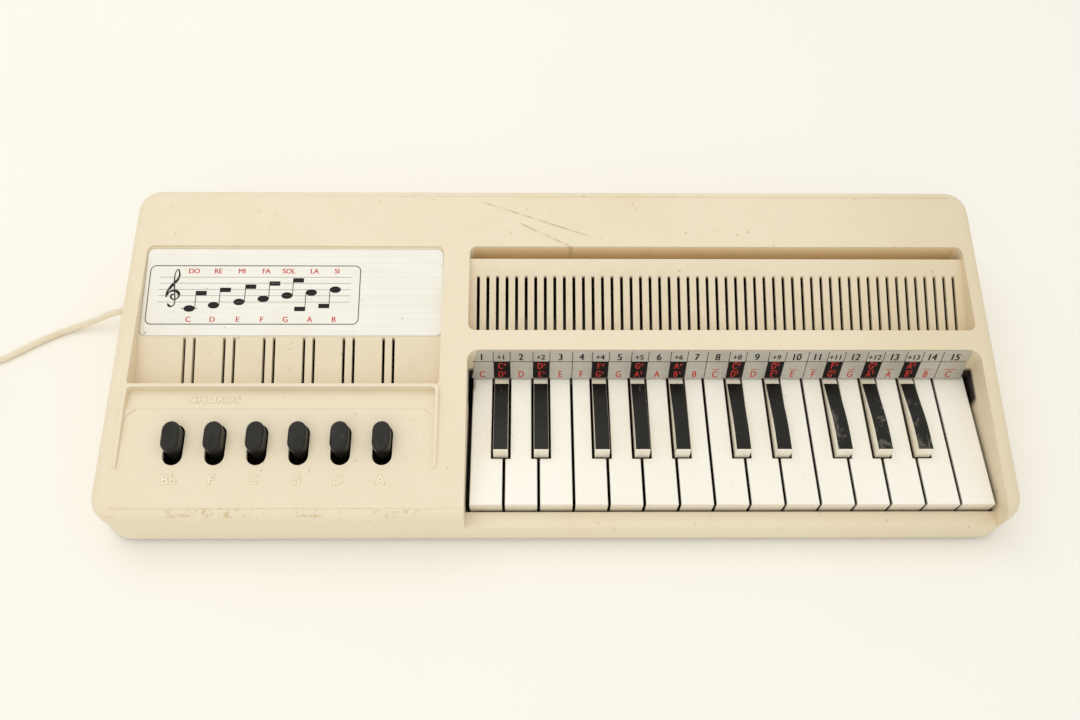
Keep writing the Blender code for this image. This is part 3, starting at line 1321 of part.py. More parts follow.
def coil_points():
    """One unbroken spiral in two layers: in along the floor, up a layer at the inside, and out."""
    points = []
    turns = COIL_LAYERS * COIL_LOOPS
    for step in range(turns * COIL_STEPS + 1):
        turn = step / COIL_STEPS - turns / 2
        radius = COIL_INNER + CORD_PITCH * abs(turn)
        climb = min(1.0, max(0.0, 2 * turn + 0.5))
        angle = COIL_START + 2 * math.pi * turn
        points.append(Vector((
            COIL_CENTRE[0] + radius * math.cos(angle),
            COIL_CENTRE[1] + radius * math.sin(angle),
            COIL_BASE + CORD_PITCH * climb * climb * (3 - 2 * climb))))
    first = (points[0] - points[1]).normalized() * CORD_DIAMETER
    last = (points[-1] - points[-2]).normalized() * COIL_END_STRAIGHT
    return [points[0] + first] + points + [points[-1] + last]


def least_gap(points, radius):
    """Smallest clear distance between parts of a run that are more than half a turn apart."""
    least = 1e9
    far = COIL_STEPS // 2
    for i in range(0, len(points)):
        for j in range(i + far, len(points)):
            least = min(least, (points[i] - points[j]).length - 2 * radius)
    return least


COIL_RUN = coil_points()
CORD_ROUTE = [
    (LEFT_X - SEAT_GAP - RELIEF_LENGTH - SEAT_GAP, RELIEF_Y, RELIEF_HEIGHT),
    (-313.0, RELIEF_Y - 0.2, 13.4),
    (-318.5, 49.7, 11.7),
    (-327.0, 47.8, 8.4),
    (-336.8, 45.9, 5.2),
    (-346.5, 43.3, 3.1),
    (-356.0, 39.4, CORD_BASE),
    (-366.0, 33.8, CORD_BASE),
    (-377.0, 26.6, CORD_BASE),
    (-389.0, 19.0, CORD_BASE),
    (-402.0, 14.6, CORD_BASE),
    (-415.0, 12.6, CORD_BASE + 0.2),
    (-427.0, 10.9, CORD_BASE + 0.6),
]


def make_cord():
    """The cord's free stretch and its coil."""
    ahead = (COIL_RUN[0] - COIL_RUN[1]).normalized()
    route = [Vector(p) for p in CORD_ROUTE]
    route += [COIL_RUN[0] + ahead * CORD_DIAMETER, COIL_RUN[0] + ahead * SEAT_GAP]
    run = smooth_route(route, 2.5 * CORD_DIAMETER)
    tube("mains_cord", run, CORD_RADIUS, 2, CORD_PLASTIC)
    tube("cord_coil", COIL_RUN, CORD_RADIUS, 1, CORD_PLASTIC)
    print("Least gap in the coil, mm:", round(least_gap(COIL_RUN, CORD_RADIUS), 2))
    free = sum((b - a).length for a, b in zip(run, run[1:]))
    wound = sum((b - a).length for a, b in zip(COIL_RUN, COIL_RUN[1:]))
    print("Cord length, mm:", round(free + wound))


def make_plug():
    """A flat two-pin plug that lies on the floor at the coil's end."""
    start = COIL_RUN[-1]
    along = (COIL_RUN[-1] - COIL_RUN[-2]).normalized()
    turn = Matrix.Rotation(math.atan2(along.y, along.x), 4, "Z")
    place = Matrix.Translation(start + along * SEAT_GAP) @ turn
    half = start.z - FLOOR_GAP
    nose_half = half - PLUG_NOSE_STEP
    nose = box(
        (0.0, -PLUG_NOSE_WIDTH / 2, -nose_half),
        (PLUG_NOSE + JOIN_SINK, PLUG_NOSE_WIDTH / 2, nose_half))
    body = box((PLUG_NOSE, -PLUG_WIDTH / 2, -half), (PLUG_LENGTH, PLUG_WIDTH / 2, half))
    back_corners = upright_edges(body, lambda e: e.verts[0].co.x < PLUG_LENGTH / 2)
    round_edges(body, back_corners, PLUG_CORNER_R, 3)
    body.transform(place)
    nose.transform(place)
    plug = node("plug", body, CORD_PLASTIC)
    join(plug, "plug_nose", nose)
    for side in (-1, 1):
        pin = drum(
            (0.0, 0.0), PIN_RADIUS, PLUG_LENGTH - JOIN_SINK, PLUG_LENGTH + PIN_LENGTH, 12, axis="X")
        pin.transform(place @ Matrix.Translation((0, side * PIN_SPACING / 2, 0)))
        join(plug, f"plug_pin_{(side + 3) // 2}", pin)
    return plug


def make_tie():
    """A flat tie right round the coil's turns, on the side towards the case."""
    inner = COIL_INNER - CORD_RADIUS - 2 * SEAT_GAP
    outer = COIL_OUTER + CORD_RADIUS + SEAT_GAP
    x, y = COIL_CENTRE
    half = TIE_WIDTH / 2
    floor = TIE_THICKNESS
    top = COIL_BASE + CORD_PITCH + CORD_RADIUS + SEAT_GAP
    tie = node("cord_tie", box(
        (x + inner - TIE_THICKNESS, y - half, 0.0),
        (x + outer + TIE_THICKNESS, y + half, top + TIE_THICKNESS)), TIE_PLASTIC)
    cut(tie, "tie_inside", box(
        (x + inner, y - half - CUT_PAST, floor), (x + outer, y + half + CUT_PAST, top)))
    return tie


make_strain_relief()
make_cord()
make_plug()
make_tie()
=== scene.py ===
import json
import math

import bmesh
import bpy
from mathutils import Matrix, Vector
from mathutils.bvhtree import BVHTree


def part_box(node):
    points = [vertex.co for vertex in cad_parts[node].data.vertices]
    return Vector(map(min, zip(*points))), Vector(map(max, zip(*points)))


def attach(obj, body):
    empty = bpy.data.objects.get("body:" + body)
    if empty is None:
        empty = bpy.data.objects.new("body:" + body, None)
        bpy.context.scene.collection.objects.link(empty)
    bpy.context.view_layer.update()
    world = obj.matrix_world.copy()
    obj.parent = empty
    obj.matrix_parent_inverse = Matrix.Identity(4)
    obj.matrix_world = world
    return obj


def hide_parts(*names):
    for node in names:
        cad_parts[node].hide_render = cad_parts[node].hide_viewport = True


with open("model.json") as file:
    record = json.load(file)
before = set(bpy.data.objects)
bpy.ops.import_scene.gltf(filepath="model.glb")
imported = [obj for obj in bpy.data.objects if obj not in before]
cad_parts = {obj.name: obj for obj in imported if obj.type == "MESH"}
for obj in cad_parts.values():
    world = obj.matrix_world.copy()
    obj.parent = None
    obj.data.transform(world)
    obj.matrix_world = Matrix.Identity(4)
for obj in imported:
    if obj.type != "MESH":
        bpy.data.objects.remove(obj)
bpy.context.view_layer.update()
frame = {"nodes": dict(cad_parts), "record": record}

MM = 0.001

# Camera, at the photograph's angle

CAMERA_PLACE = Vector((-18.1, -302.15, 574.6)) * MM
CAMERA_DIP = math.radians(60.76)
CAMERA_YAW = math.radians(1.40)
CAMERA_ROLL = math.radians(1.24)
SENSOR_WIDTH = 36.0
FOCAL_SHARE = 923.6 / 1080.0


def make_camera():
    ahead = Vector((
        math.sin(CAMERA_YAW) * math.cos(CAMERA_DIP),
        math.cos(CAMERA_YAW) * math.cos(CAMERA_DIP),
        -math.sin(CAMERA_DIP)))
    level = Vector((math.cos(CAMERA_YAW), -math.sin(CAMERA_YAW), 0.0))
    upright = level.cross(ahead)
    right = level * math.cos(CAMERA_ROLL) + upright * math.sin(CAMERA_ROLL)
    up = upright * math.cos(CAMERA_ROLL) - level * math.sin(CAMERA_ROLL)
    data = bpy.data.cameras.new("camera")
    data.sensor_width = SENSOR_WIDTH
    data.lens = SENSOR_WIDTH * FOCAL_SHARE
    data.clip_start = 0.01
    data.clip_end = 20.0
    camera = bpy.data.objects.new("camera", data)
    turned = Matrix((right, up, -ahead)).transposed().to_4x4()
    camera.matrix_world = Matrix.Translation(CAMERA_PLACE) @ turned
    bpy.context.scene.collection.objects.link(camera)
    bpy.context.scene.camera = camera


make_camera()


# Mains cord, in millimetres: its route from the relief, and its coil

CORD_DIAMETER = 4.5
CORD_EXIT = Vector((-308.6, 51.0, 14.0))
CORD_REST = 2.35
CORD_ROUTE = [
    CORD_EXIT,
    (-313.0, 50.8, 13.4),
    (-318.5, 49.7, 11.7),
    (-327.0, 47.8, 8.4),
    (-336.8, 45.9, 5.2),
    (-346.5, 43.3, 3.1),
    (-356.0, 39.4, CORD_REST),
    (-366.0, 33.8, CORD_REST),
    (-377.0, 26.6, CORD_REST),
    (-389.0, 19.0, CORD_REST),
    (-402.0, 14.6, CORD_REST),
    (-415.0, 12.6, CORD_REST + 0.2),
    (-427.0, 10.9, CORD_REST + 0.6),
]
ROUTE_STEP = 4.0
COIL_CENTRE = Vector((-436.0, -28.0))
COIL_INNER = 17.0
COIL_PITCH = 5.0
COIL_BASE = 3.15
COIL_TURNS = 8
COIL_STEPS = 48
COIL_START = math.radians(100.0)
COIL_END_STRAIGHT = 25.0
PLUG_GAP = 0.3


def smooth_line(points, spacing):
    """Points about spacing apart on a smooth curve through the given ones."""
    given = [Vector(p) for p in points]
    ends = [given[0] * 2 - given[1]] + given + [given[-1] * 2 - given[-2]]
    found = [given[0]]
    for i in range(1, len(ends) - 2):
        a, b, c, d = ends[i - 1:i + 3]
        steps = max(1, round((c - b).length / spacing))
        for step in range(1, steps + 1):
            t = step / steps
            found.append(0.5 * (
                2 * b + (c - a) * t + (2 * a - 5 * b + 4 * c - d) * t * t
                + (3 * b - 3 * c + d - a) * t * t * t))
    return found


def coil_line():
    """A spiral in two layers: in along the floor, up a layer at the inside, and out."""
    points = []
    for step in range(COIL_TURNS * COIL_STEPS + 1):
        turn = step / COIL_STEPS - COIL_TURNS / 2
        radius = COIL_INNER + COIL_PITCH * abs(turn)
        climb = min(1.0, max(0.0, 2 * turn + 0.5))
        angle = COIL_START + 2 * math.pi * turn
        points.append(Vector((
            COIL_CENTRE.x + radius * math.cos(angle),
            COIL_CENTRE.y + radius * math.sin(angle),
            COIL_BASE + COIL_PITCH * climb * climb * (3 - 2 * climb))))
    last = (points[-1] - points[-2]).normalized() * COIL_END_STRAIGHT
    return points + [points[-1] + last * share for share in (0.25, 0.5, 0.75, 1.0)]


def make_cord():
    coil = coil_line()
    lead_in = (coil[0] - coil[1]).normalized() * CORD_DIAMETER
    line = smooth_line(CORD_ROUTE + [coil[0] + lead_in, coil[0]], ROUTE_STEP) + coil[1:]
    curve = bpy.data.curves.new("mains_lead", "CURVE")
    curve.dimensions = "3D"
    curve.bevel_depth = 1.0
    curve.bevel_resolution = 4
    curve.use_fill_caps = True
    spline = curve.splines.new("POLY")
    spline.points.add(len(line) - 1)
    for point, place in zip(spline.points, line):
        point.co = (*(place * MM), 1.0)
        point.radius = CORD_DIAMETER / 2 * MM
    spline.use_smooth = True
    cord = bpy.data.objects.new("mains_lead", curve)
    bpy.context.scene.collection.objects.link(cord)
    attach(cord, "case")
    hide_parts("mains_cord", "cord_coil")
    return cord, line


cord, cord_points = make_cord()


# Materials: helpers


def srgb(red, green, blue):
    """A colour as it looks on a screen, from 0 to 255, as Blender's linear colour."""
    def linear(value):
        share = value / 255.0
        return share / 12.92 if share <= 0.04045 else ((share + 0.055) / 1.055) ** 2.4
    return (linear(red), linear(green), linear(blue), 1.0)


def new_material(name, roughness, metallic=0.0, coat=0.0, glint=0.5):
    made = bpy.data.materials.new(name)
    made.use_nodes = True
    shader = made.node_tree.nodes["Principled BSDF"]
    shader.inputs["Roughness"].default_value = roughness
    shader.inputs["Metallic"].default_value = metallic
    shader.inputs["Coat Weight"].default_value = coat
    shader.inputs["Specular IOR Level"].default_value = glint
    return made


def plug_in(made, socket, value):
    """A value goes on the socket, and another node's output is linked to it."""
    if isinstance(value, bpy.types.NodeSocket):
        made.node_tree.links.new(value, socket)
    else:
        socket.default_value = value


def point_on(made, stretch=(1.0, 1.0, 1.0), turn=(0.0, 0.0, 0.0)):
    """Object coordinates, stretched and turned."""
    coords = made.node_tree.nodes.new("ShaderNodeTexCoord")
    if stretch == (1.0, 1.0, 1.0) and turn == (0.0, 0.0, 0.0):
        return coords.outputs["Object"]
    mapping = made.node_tree.nodes.new("ShaderNodeMapping")
    mapping.inputs["Scale"].default_value = stretch
    mapping.inputs["Rotation"].default_value = turn
    made.node_tree.links.new(coords.outputs["Object"], mapping.inputs["Vector"])
    return mapping.outputs["Vector"]


def noise(made, scale, detail=3.0, roughness=0.5, where=None, distortion=0.0):
    texture = made.node_tree.nodes.new("ShaderNodeTexNoise")
    texture.inputs["Scale"].default_value = scale
    texture.inputs["Detail"].default_value = detail
    texture.inputs["Roughness"].default_value = roughness
    texture.inputs["Distortion"].default_value = distortion
    plug_in(made, texture.inputs["Vector"], where or point_on(made))
    return texture.outputs["Fac"]


def between(made, value, low, high, to_low=0.0, to_high=1.0):
    """Maps value from low..high to to_low..to_high, smoothly, and no further."""
    node = made.node_tree.nodes.new("ShaderNodeMapRange")
    node.interpolation_type = "SMOOTHSTEP"
    plug_in(made, node.inputs["Value"], value)
    node.inputs["From Min"].default_value = low
    node.inputs["From Max"].default_value = high
    node.inputs["To Min"].default_value = to_low
    node.inputs["To Max"].default_value = to_high
    return node.outputs["Result"]


def reckon(made, operation, first, second=0.0):
    node = made.node_tree.nodes.new("ShaderNodeMath")
    node.operation = operation
    plug_in(made, node.inputs[0], first)
    plug_in(made, node.inputs[1], second)
    return node.outputs[0]


def mix(made, share, first, second):
    """The first colour, and share of the second over it."""
    node = made.node_tree.nodes.new("ShaderNodeMix")
    node.data_type = "RGBA"
    plug_in(made, node.inputs[0], share)
    plug_in(made, node.inputs[6], first)
    plug_in(made, node.inputs[7], second)
    return node.outputs[2]


def axes_of(made):
    split = made.node_tree.nodes.new("ShaderNodeSeparateXYZ")
    made.node_tree.links.new(point_on(made), split.inputs[0])
    return split.outputs[0], split.outputs[1], split.outputs[2]


def times(made, first, second):
    return reckon(made, "MULTIPLY", first, second)


def within(made, value, span, soft):
    """1 over a span in millimetres, falling to 0 over soft outside it."""
    low, high = span
    rise = between(made, value, (low - soft) * MM, low * MM)
    fall = between(made, value, high * MM, (high + soft) * MM, 1.0, 0.0)
    return times(made, rise, fall)


def finish_colour(made, colour):
    plug_in(made, made.node_tree.nodes["Principled BSDF"].inputs["Base Color"], colour)


def finish_roughness(made, value):
    plug_in(made, made.node_tree.nodes["Principled BSDF"].inputs["Roughness"], value)


def finish_bump(made, height, strength, distance):
    bump = made.node_tree.nodes.new("ShaderNodeBump")
    bump.inputs["Strength"].default_value = strength
    bump.inputs["Distance"].default_value = distance * MM
    plug_in(made, bump.inputs["Height"], height)
    shader = made.node_tree.nodes["Principled BSDF"]
    made.node_tree.links.new(bump.outputs["Normal"], shader.inputs["Normal"])


# Materials: the object's own finishes, with painted shade and a painted highlight in some

CASE_SLOPE = math.tan(math.radians(8.83))
CASE_LEVEL = (40.0 + CASE_SLOPE * 113.0) * MM
# near-black painted shade for the unlit inside of the case and the keys' tails behind the strip
INSIDE_SHADE = srgb(38, 30, 21)
POCKETS_X, POCKETS_Y = (-282.5, 282.5), (-102.0, 80.0)
TRENCH_WALL_Y = (68.4, 69.6)
STAINS_X, STAINS_Y = (-234.0, -90.0), (-110.6, -107.0)
BACK_BAND_Y = (84.0, 108.0)
SCRATCHES = ((-44.0, 100.0, 0.35, 62.0), (-20.0, 84.0, 0.5, 40.0))
SCRATCH_HALF, SCRATCH_SOFT = 0.35, 0.5


def case_ground(made):
    """Beige with yellowed patches and a fine mottle."""
    patch = between(made, noise(made, 7.0, 4.0, 0.55), 0.5, 0.72, 0.0, 0.4)
    colour = mix(made, patch, srgb(238, 225, 198), srgb(233, 216, 181))
    mottle = between(made, noise(made, 90.0, 3.0, 0.6), 0.45, 0.8, 0.0, 0.2)
    return mix(made, mottle, colour, srgb(224, 209, 178))


def case_depths(made, colour, x, y, z):
    """Dirt in the pockets, then painted shade: a darker right end, a warm brown on the trench's back face
    and near black on the inside.
    """
    sunk = reckon(made, "SUBTRACT", times(made, y, CASE_SLOPE), z)
    depth = reckon(made, "ADD", sunk, CASE_LEVEL)
    pockets = times(made, within(made, x, POCKETS_X, 2.0), within(made, y, POCKETS_Y, 2.0))
    grime = between(made, noise(made, 45.0, 4.0, 0.6), 0.3, 0.75, 0.5, 1.0)
    dirt = times(made, between(made, depth, 1.5 * MM, 9.0 * MM, 0.0, 0.18), grime)
    dirt = times(made, dirt, between(made, x, -80.0 * MM, -60.0 * MM, 0.45, 1.0))
    colour = mix(made, times(made, dirt, pockets), colour, srgb(166, 134, 86))
    # painted shade: the right end is mixed towards a darker tone, as the light falls off to the right
    right_shade = between(made, x, 150.0 * MM, 283.0 * MM, 0.0, 0.75)
    colour = mix(made, right_shade, colour, srgb(226, 211, 180))
    # painted shade: the trench's back face is mixed towards the warm brown it takes in shade
    trench_shade = times(
        made, within(made, y, TRENCH_WALL_Y, 0.3), between(made, depth, 0.6 * MM, 3.0 * MM, 0.0, 0.9))
    colour = mix(made, times(made, trench_shade, pockets), colour, srgb(238, 208, 158))
    # painted shade: deep in the pockets the case's inside is painted near black
    inside_shade = times(
        made, between(made, depth, 14.5 * MM, 18.0 * MM), between(made, y, -34.0 * MM, -28.0 * MM))
    return mix(made, times(made, inside_shade, pockets), colour, INSIDE_SHADE)


def case_stains(made, colour, x, y):
    """Yellow flecks on the front edge, where hands rest, and scuffs on the back band."""
    hand = times(made, within(made, x, STAINS_X, 12.0), within(made, y, STAINS_Y, 1.4))
    flecks = between(made, noise(made, 300.0, 5.0, 0.7), 0.49, 0.62, 0.0, 0.6)
    clumps = between(made, noise(made, 60.0, 2.0, 0.5), 0.38, 0.52)
    flecks = times(made, flecks, clumps)
    colour = mix(made, times(made, hand, flecks), colour, srgb(198, 170, 108))
    rubbed = noise(made, 46.0, 5.0, 0.7, point_on(made, (0.7, 2.2, 1.0), (0.0, 0.0, 0.2)))
    scuffs = times(
        made, within(made, y, BACK_BAND_Y, 6.0), between(made, rubbed, 0.63, 0.70, 0.0, 0.45))
    return mix(made, scuffs, colour, srgb(202, 180, 130))


def case_scratches(made, colour, x, y):
    """Long broken scratches, each from a start in x and y, with its lean and its reach in x."""
    for start_x, start_y, lean, reach in SCRATCHES:
        run = reckon(made, "ADD", y, times(made, x, lean))
        level = start_y + start_x * lean
        line = within(made, run, (level - SCRATCH_HALF, level + SCRATCH_HALF), SCRATCH_SOFT)
        stretch = within(made, x, (start_x, start_x + reach), 8.0)
        broken = between(made, noise(made, 160.0, 4.0, 0.7), 0.35, 0.6, 0.1, 0.6)
        mark = times(made, times(made, line, stretch), broken)
        colour = mix(made, mark, colour, srgb(178, 150, 98))
    return colour


def case_finish():
    """Aged beige moulding: grain, yellowed patches, dirt low in the pockets, painted shade on the right
    end, the trench's back face and the inside, rubs and hair lines.
    """
    made = new_material("case_moulding", 0.42)
    x, y, z = axes_of(made)
    colour = case_depths(made, case_ground(made), x, y, z)
    colour = case_scratches(made, case_stains(made, colour, x, y), x, y)
    spots = between(made, noise(made, 210.0, 2.0, 0.5), 0.72, 0.78, 0.0, 0.45)
    colour = mix(made, spots, colour, srgb(168, 138, 92))
    hair = noise(made, 34.0, 2.0, 0.5, point_on(made, (0.35, 14.0, 3.0), (0.0, 0.0, 0.45)))
    lines = between(made, hair, 0.74, 0.77, 0.0, 0.3)
    colour = mix(made, lines, colour, srgb(246, 238, 219))
    finish_colour(made, colour)
    finish_roughness(made, between(made, noise(made, 30.0, 4.0, 0.6), 0.3, 0.7, 0.38, 0.54))
    grain = noise(made, 1500.0, 3.0, 0.6)
    finish_bump(made, reckon(made, "SUBTRACT", grain, times(made, lines, 1.5)), 0.25, 0.06)
    return made


def cover_finish():
    """Brown-grey moulding of the lower cover, dusty and rubbed."""
    made = new_material("cover_moulding", 0.6)
    dust = between(made, noise(made, 25.0, 5.0, 0.65), 0.4, 0.8, 0.0, 0.6)
    colour = mix(made, dust, srgb(82, 72, 57), srgb(112, 99, 79))
    rub = between(made, noise(made, 120.0, 4.0, 0.7), 0.62, 0.75, 0.0, 0.5)
    colour = mix(made, rub, colour, srgb(60, 52, 42))
    finish_colour(made, colour)
    finish_roughness(made, between(made, noise(made, 60.0), 0.3, 0.7, 0.5, 0.7))
    finish_bump(made, noise(made, 900.0, 3.0), 0.3, 0.08)
    return made


TAIL_Y = (-10.5, -7.0)
# near-black painted shade for the gaps between keys
GAP_SHADE = srgb(50, 41, 30)


def tail_shade(made, colour, y):
    """Painted shade on a key's tail, which lies behind the strip in the dark: the inside's near-black
    colour.
    """
    low, high = TAIL_Y
    return mix(made, between(made, y, low * MM, high * MM), colour, INSIDE_SHADE)


def white_key_finish():
    """Glossy white moulding, a little yellowed, darker lower down and towards the strip, with painted
    shade on its front face and in the gaps at its sides.
    """
    made = new_material("white_key_moulding", 0.22, coat=0.15)
    x, y, z = axes_of(made)
    warm = between(made, noise(made, 18.0, 3.0), 0.4, 0.75, 0.0, 0.5)
    colour = mix(made, warm, srgb(252, 249, 239), srgb(247, 242, 226))
    # darker lower down on the key
    low = between(made, z, 19.0 * MM, 29.0 * MM, 0.4, 0.0)
    colour = mix(made, low, colour, srgb(196, 180, 148))
    # painted shade: the front face of the key is mixed darker
    lip_shade = between(made, y, -100.8 * MM, -100.3 * MM, 0.4, 0.0)
    colour = mix(made, lip_shade, colour, srgb(218, 202, 166))
    # a little darker towards the strip, in patches
    back = between(made, y, -22.0 * MM, -13.0 * MM, 0.0, 0.1)
    strip_tone = times(made, back, between(made, noise(made, 40.0, 4.0), 0.3, 0.7, 0.2, 1.0))
    colour = mix(made, strip_tone, colour, srgb(205, 190, 158))
    first = times(
        made, between(made, x, -54.6 * MM, -52.6 * MM, 1.0, 0.0),
        between(made, y, -24.0 * MM, -17.0 * MM))
    stain = times(made, first, between(made, noise(made, 90.0, 4.0), 0.4, 0.6, 0.2, 0.9))
    colour = mix(made, stain, colour, srgb(168, 124, 70))
    # painted shade: the key's sides below its top, in the gaps between neighbours, go near black
    side = times(
        made, between(made, z, 28.0 * MM, 30.6 * MM, 0.95, 0.0),
        between(made, y, -100.3 * MM, -99.8 * MM))
    colour = mix(made, side, colour, GAP_SHADE)
    colour = tail_shade(made, colour, y)
    specks = between(made, noise(made, 260.0, 2.0), 0.74, 0.79, 0.0, 0.5)
    colour = mix(made, specks, colour, srgb(176, 160, 130))
    finish_colour(made, colour)
    finish_roughness(made, between(made, noise(made, 55.0, 4.0), 0.3, 0.75, 0.18, 0.34))
    lines = noise(made, 60.0, 2.0, 0.5, point_on(made, (9.0, 0.4, 3.0), (0.0, 0.0, 0.3)))
    finish_bump(made, between(made, lines, 0.7, 0.74, 1.0, 0.0), 0.2, 0.04)
    return made


def black_key_finish():
    """Cream moulding of the black keys' bodies, warmer than the white keys, darker lower down, and
    painted near black below the head's top as shade in the gap.
    """
    made = new_material("black_key_moulding", 0.3, coat=0.1)
    _, y, z = axes_of(made)
    warm = between(made, noise(made, 30.0, 3.0), 0.4, 0.7, 0.0, 0.6)
    colour = mix(made, warm, srgb(247, 241, 223), srgb(240, 230, 205))
    # darker lower down on the head
    low = between(made, z, 31.0 * MM, 35.0 * MM, 0.3, 0.0)
    colour = mix(made, low, colour, srgb(166, 142, 104))
    # painted shade: below the head's top the body goes near black, as it lies in the gap
    under_shade = between(made, z, 29.5 * MM, 31.2 * MM, 0.9, 0.0)
    colour = mix(made, under_shade, colour, GAP_SHADE)
    colour = tail_shade(made, colour, y)
    finish_colour(made, colour)
    finish_roughness(made, between(made, noise(made, 80.0), 0.3, 0.7, 0.25, 0.42))
    finish_bump(made, noise(made, 800.0), 0.15, 0.04)
    return made


def inlay_finish():
    """Black inlays: satin, dusty, and rubbed by fingers on the right half."""
    made = new_material("inlay_black", 0.38, glint=0.3)
    x, y, _ = axes_of(made)
    dust = between(made, noise(made, 110.0, 5.0, 0.7), 0.5, 0.85, 0.0, 0.5)
    colour = mix(made, dust, srgb(22, 21, 17), srgb(48, 45, 37))
    played = times(
        made, between(made, x, 160.0 * MM, 180.0 * MM),
        between(made, y, -36.0 * MM, -28.0 * MM, 1.0, 0.0))
    rub = noise(made, 75.0, 5.0, 0.75, point_on(made, (1.0, 1.0, 1.0), (0.0, 0.0, 0.6)), 0.6)
    rubbed = times(made, played, between(made, rub, 0.52, 0.6, 0.0, 0.75))
    colour = mix(made, rubbed, colour, srgb(98, 94, 82))
    hair = noise(made, 90.0, 2.0, 0.5, point_on(made, (6.0, 0.5, 1.0), (0.0, 0.0, 0.5)))
    colour = mix(made, between(made, hair, 0.72, 0.75, 0.0, 0.4), colour, srgb(126, 122, 108))
    finish_colour(made, colour)
    finish_roughness(made, between(made, dust, 0.0, 0.5, 0.3, 0.5))
    finish_bump(made, noise(made, 1200.0), 0.15, 0.03)
    return made


def button_finish():
    """Black moulding of the chord buttons, paler where fingers have rubbed it."""
    made = new_material("button_black", 0.4, glint=0.3)
    dust = between(made, noise(made, 130.0, 4.0, 0.7), 0.45, 0.85, 0.0, 0.5)
    colour = mix(made, dust, srgb(24, 23, 18), srgb(52, 50, 42))
    rub = between(made, noise(made, 260.0, 4.0, 0.7), 0.64, 0.72, 0.0, 0.5)
    colour = mix(made, rub, colour, srgb(92, 87, 74))
    finish_colour(made, colour)
    finish_roughness(made, between(made, noise(made, 90.0), 0.3, 0.7, 0.3, 0.48))
    finish_bump(made, noise(made, 1100.0), 0.2, 0.04)
    return made


def plate_finish():
    """Pale anodised sheet with a fine brushed line and small dark specks."""
    made = new_material("chart_sheet", 0.45, metallic=0.2)
    brushed = noise(made, 260.0, 3.0, 0.6, point_on(made, (0.03, 2.0, 2.0)))
    colour = mix(
        made, between(made, brushed, 0.35, 0.65), srgb(233, 231, 222), srgb(241, 239, 231))
    cloud = between(made, noise(made, 30.0, 4.0), 0.4, 0.75, 0.0, 0.35)
    colour = mix(made, cloud, colour, srgb(226, 221, 206))
    specks = between(made, noise(made, 330.0, 2.0), 0.73, 0.78, 0.0, 0.6)
    colour = mix(made, specks, colour, srgb(120, 108, 88))
    finish_colour(made, colour)
    finish_roughness(made, between(made, brushed, 0.3, 0.7, 0.36, 0.48))
    finish_bump(made, brushed, 0.1, 0.03)
    return made


def strip_finish():
    """Silver-grey brushed sheet behind the keys."""
    made = new_material("label_sheet", 0.45, metallic=0.2)
    brushed = noise(made, 420.0, 3.0, 0.6, point_on(made, (0.03, 1.5, 1.5)))
    colour = mix(
        made, between(made, brushed, 0.3, 0.7), srgb(193, 189, 177), srgb(201, 197, 186))
    dull = between(made, noise(made, 60.0, 4.0), 0.45, 0.8, 0.0, 0.4)
    colour = mix(made, dull, colour, srgb(184, 176, 156))
    finish_colour(made, colour)
    finish_roughness(made, between(made, brushed, 0.3, 0.7, 0.34, 0.46))
    finish_bump(made, brushed, 0.12, 0.03)
    return made


def print_finish(name, colour, worn, roughness):
    """Screen-printed ink, with a little of it worn thin."""
    made = new_material(name, roughness, glint=0.25)
    wear = between(made, noise(made, 420.0, 3.0, 0.7), 0.6, 0.75, 0.0, 0.5)
    finish_colour(made, mix(made, wear, colour, worn))
    finish_bump(made, noise(made, 1500.0), 0.1, 0.02)
    return made


def cord_finish():
    """Cream cord plastic with dull patches and small dark marks."""
    made = new_material("cord_cream", 0.45)
    dull = between(made, noise(made, 35.0, 4.0), 0.4, 0.75, 0.0, 0.6)
    colour = mix(made, dull, srgb(237, 226, 200), srgb(221, 205, 170))
    marks = between(made, noise(made, 190.0, 3.0, 0.6), 0.7, 0.76, 0.0, 0.7)
    colour = mix(made, marks, colour, srgb(120, 98, 66))
    finish_colour(made, colour)
    finish_roughness(made, between(made, noise(made, 60.0), 0.3, 0.7, 0.4, 0.55))
    finish_bump(made, noise(made, 700.0), 0.2, 0.05)
    return made


def metal_finish(name, colour, dull, roughness):
    """Bare metal with drawn lines and dull spots."""
    made = new_material(name, roughness, metallic=1.0)
    drawn = noise(made, 500.0, 3.0, 0.6, point_on(made, (0.05, 1.0, 1.0)))
    tone = mix(made, between(made, drawn, 0.35, 0.65, 0.0, 0.5), colour, dull)
    spots = between(made, noise(made, 140.0, 4.0), 0.55, 0.8, 0.0, 0.7)
    finish_colour(made, mix(made, spots, tone, dull))
    finish_roughness(made, between(made, drawn, 0.3, 0.7, roughness - 0.06, roughness + 0.1))
    finish_bump(made, drawn, 0.15, 0.03)
    return made


def plain_finish(name, colour, dusty, roughness, grain):
    """A moulded or rubber finish with dust and grain."""
    made = new_material(name, roughness)
    dust = between(made, noise(made, 60.0, 5.0, 0.65), 0.4, 0.8, 0.0, 0.7)
    finish_colour(made, mix(made, dust, colour, dusty))
    finish_roughness(made, between(made, noise(made, 90.0), 0.3, 0.7, roughness - 0.08, roughness + 0.08))
    finish_bump(made, noise(made, grain), 0.3, 0.08)
    return made


CASE = case_finish()
# painted highlight: the raised letters are lighter than the case, as if their tops caught the light
RAISED_LIGHTENED = plain_finish("raised_letters", srgb(247, 237, 214), srgb(238, 226, 198), 0.45, 900.0)
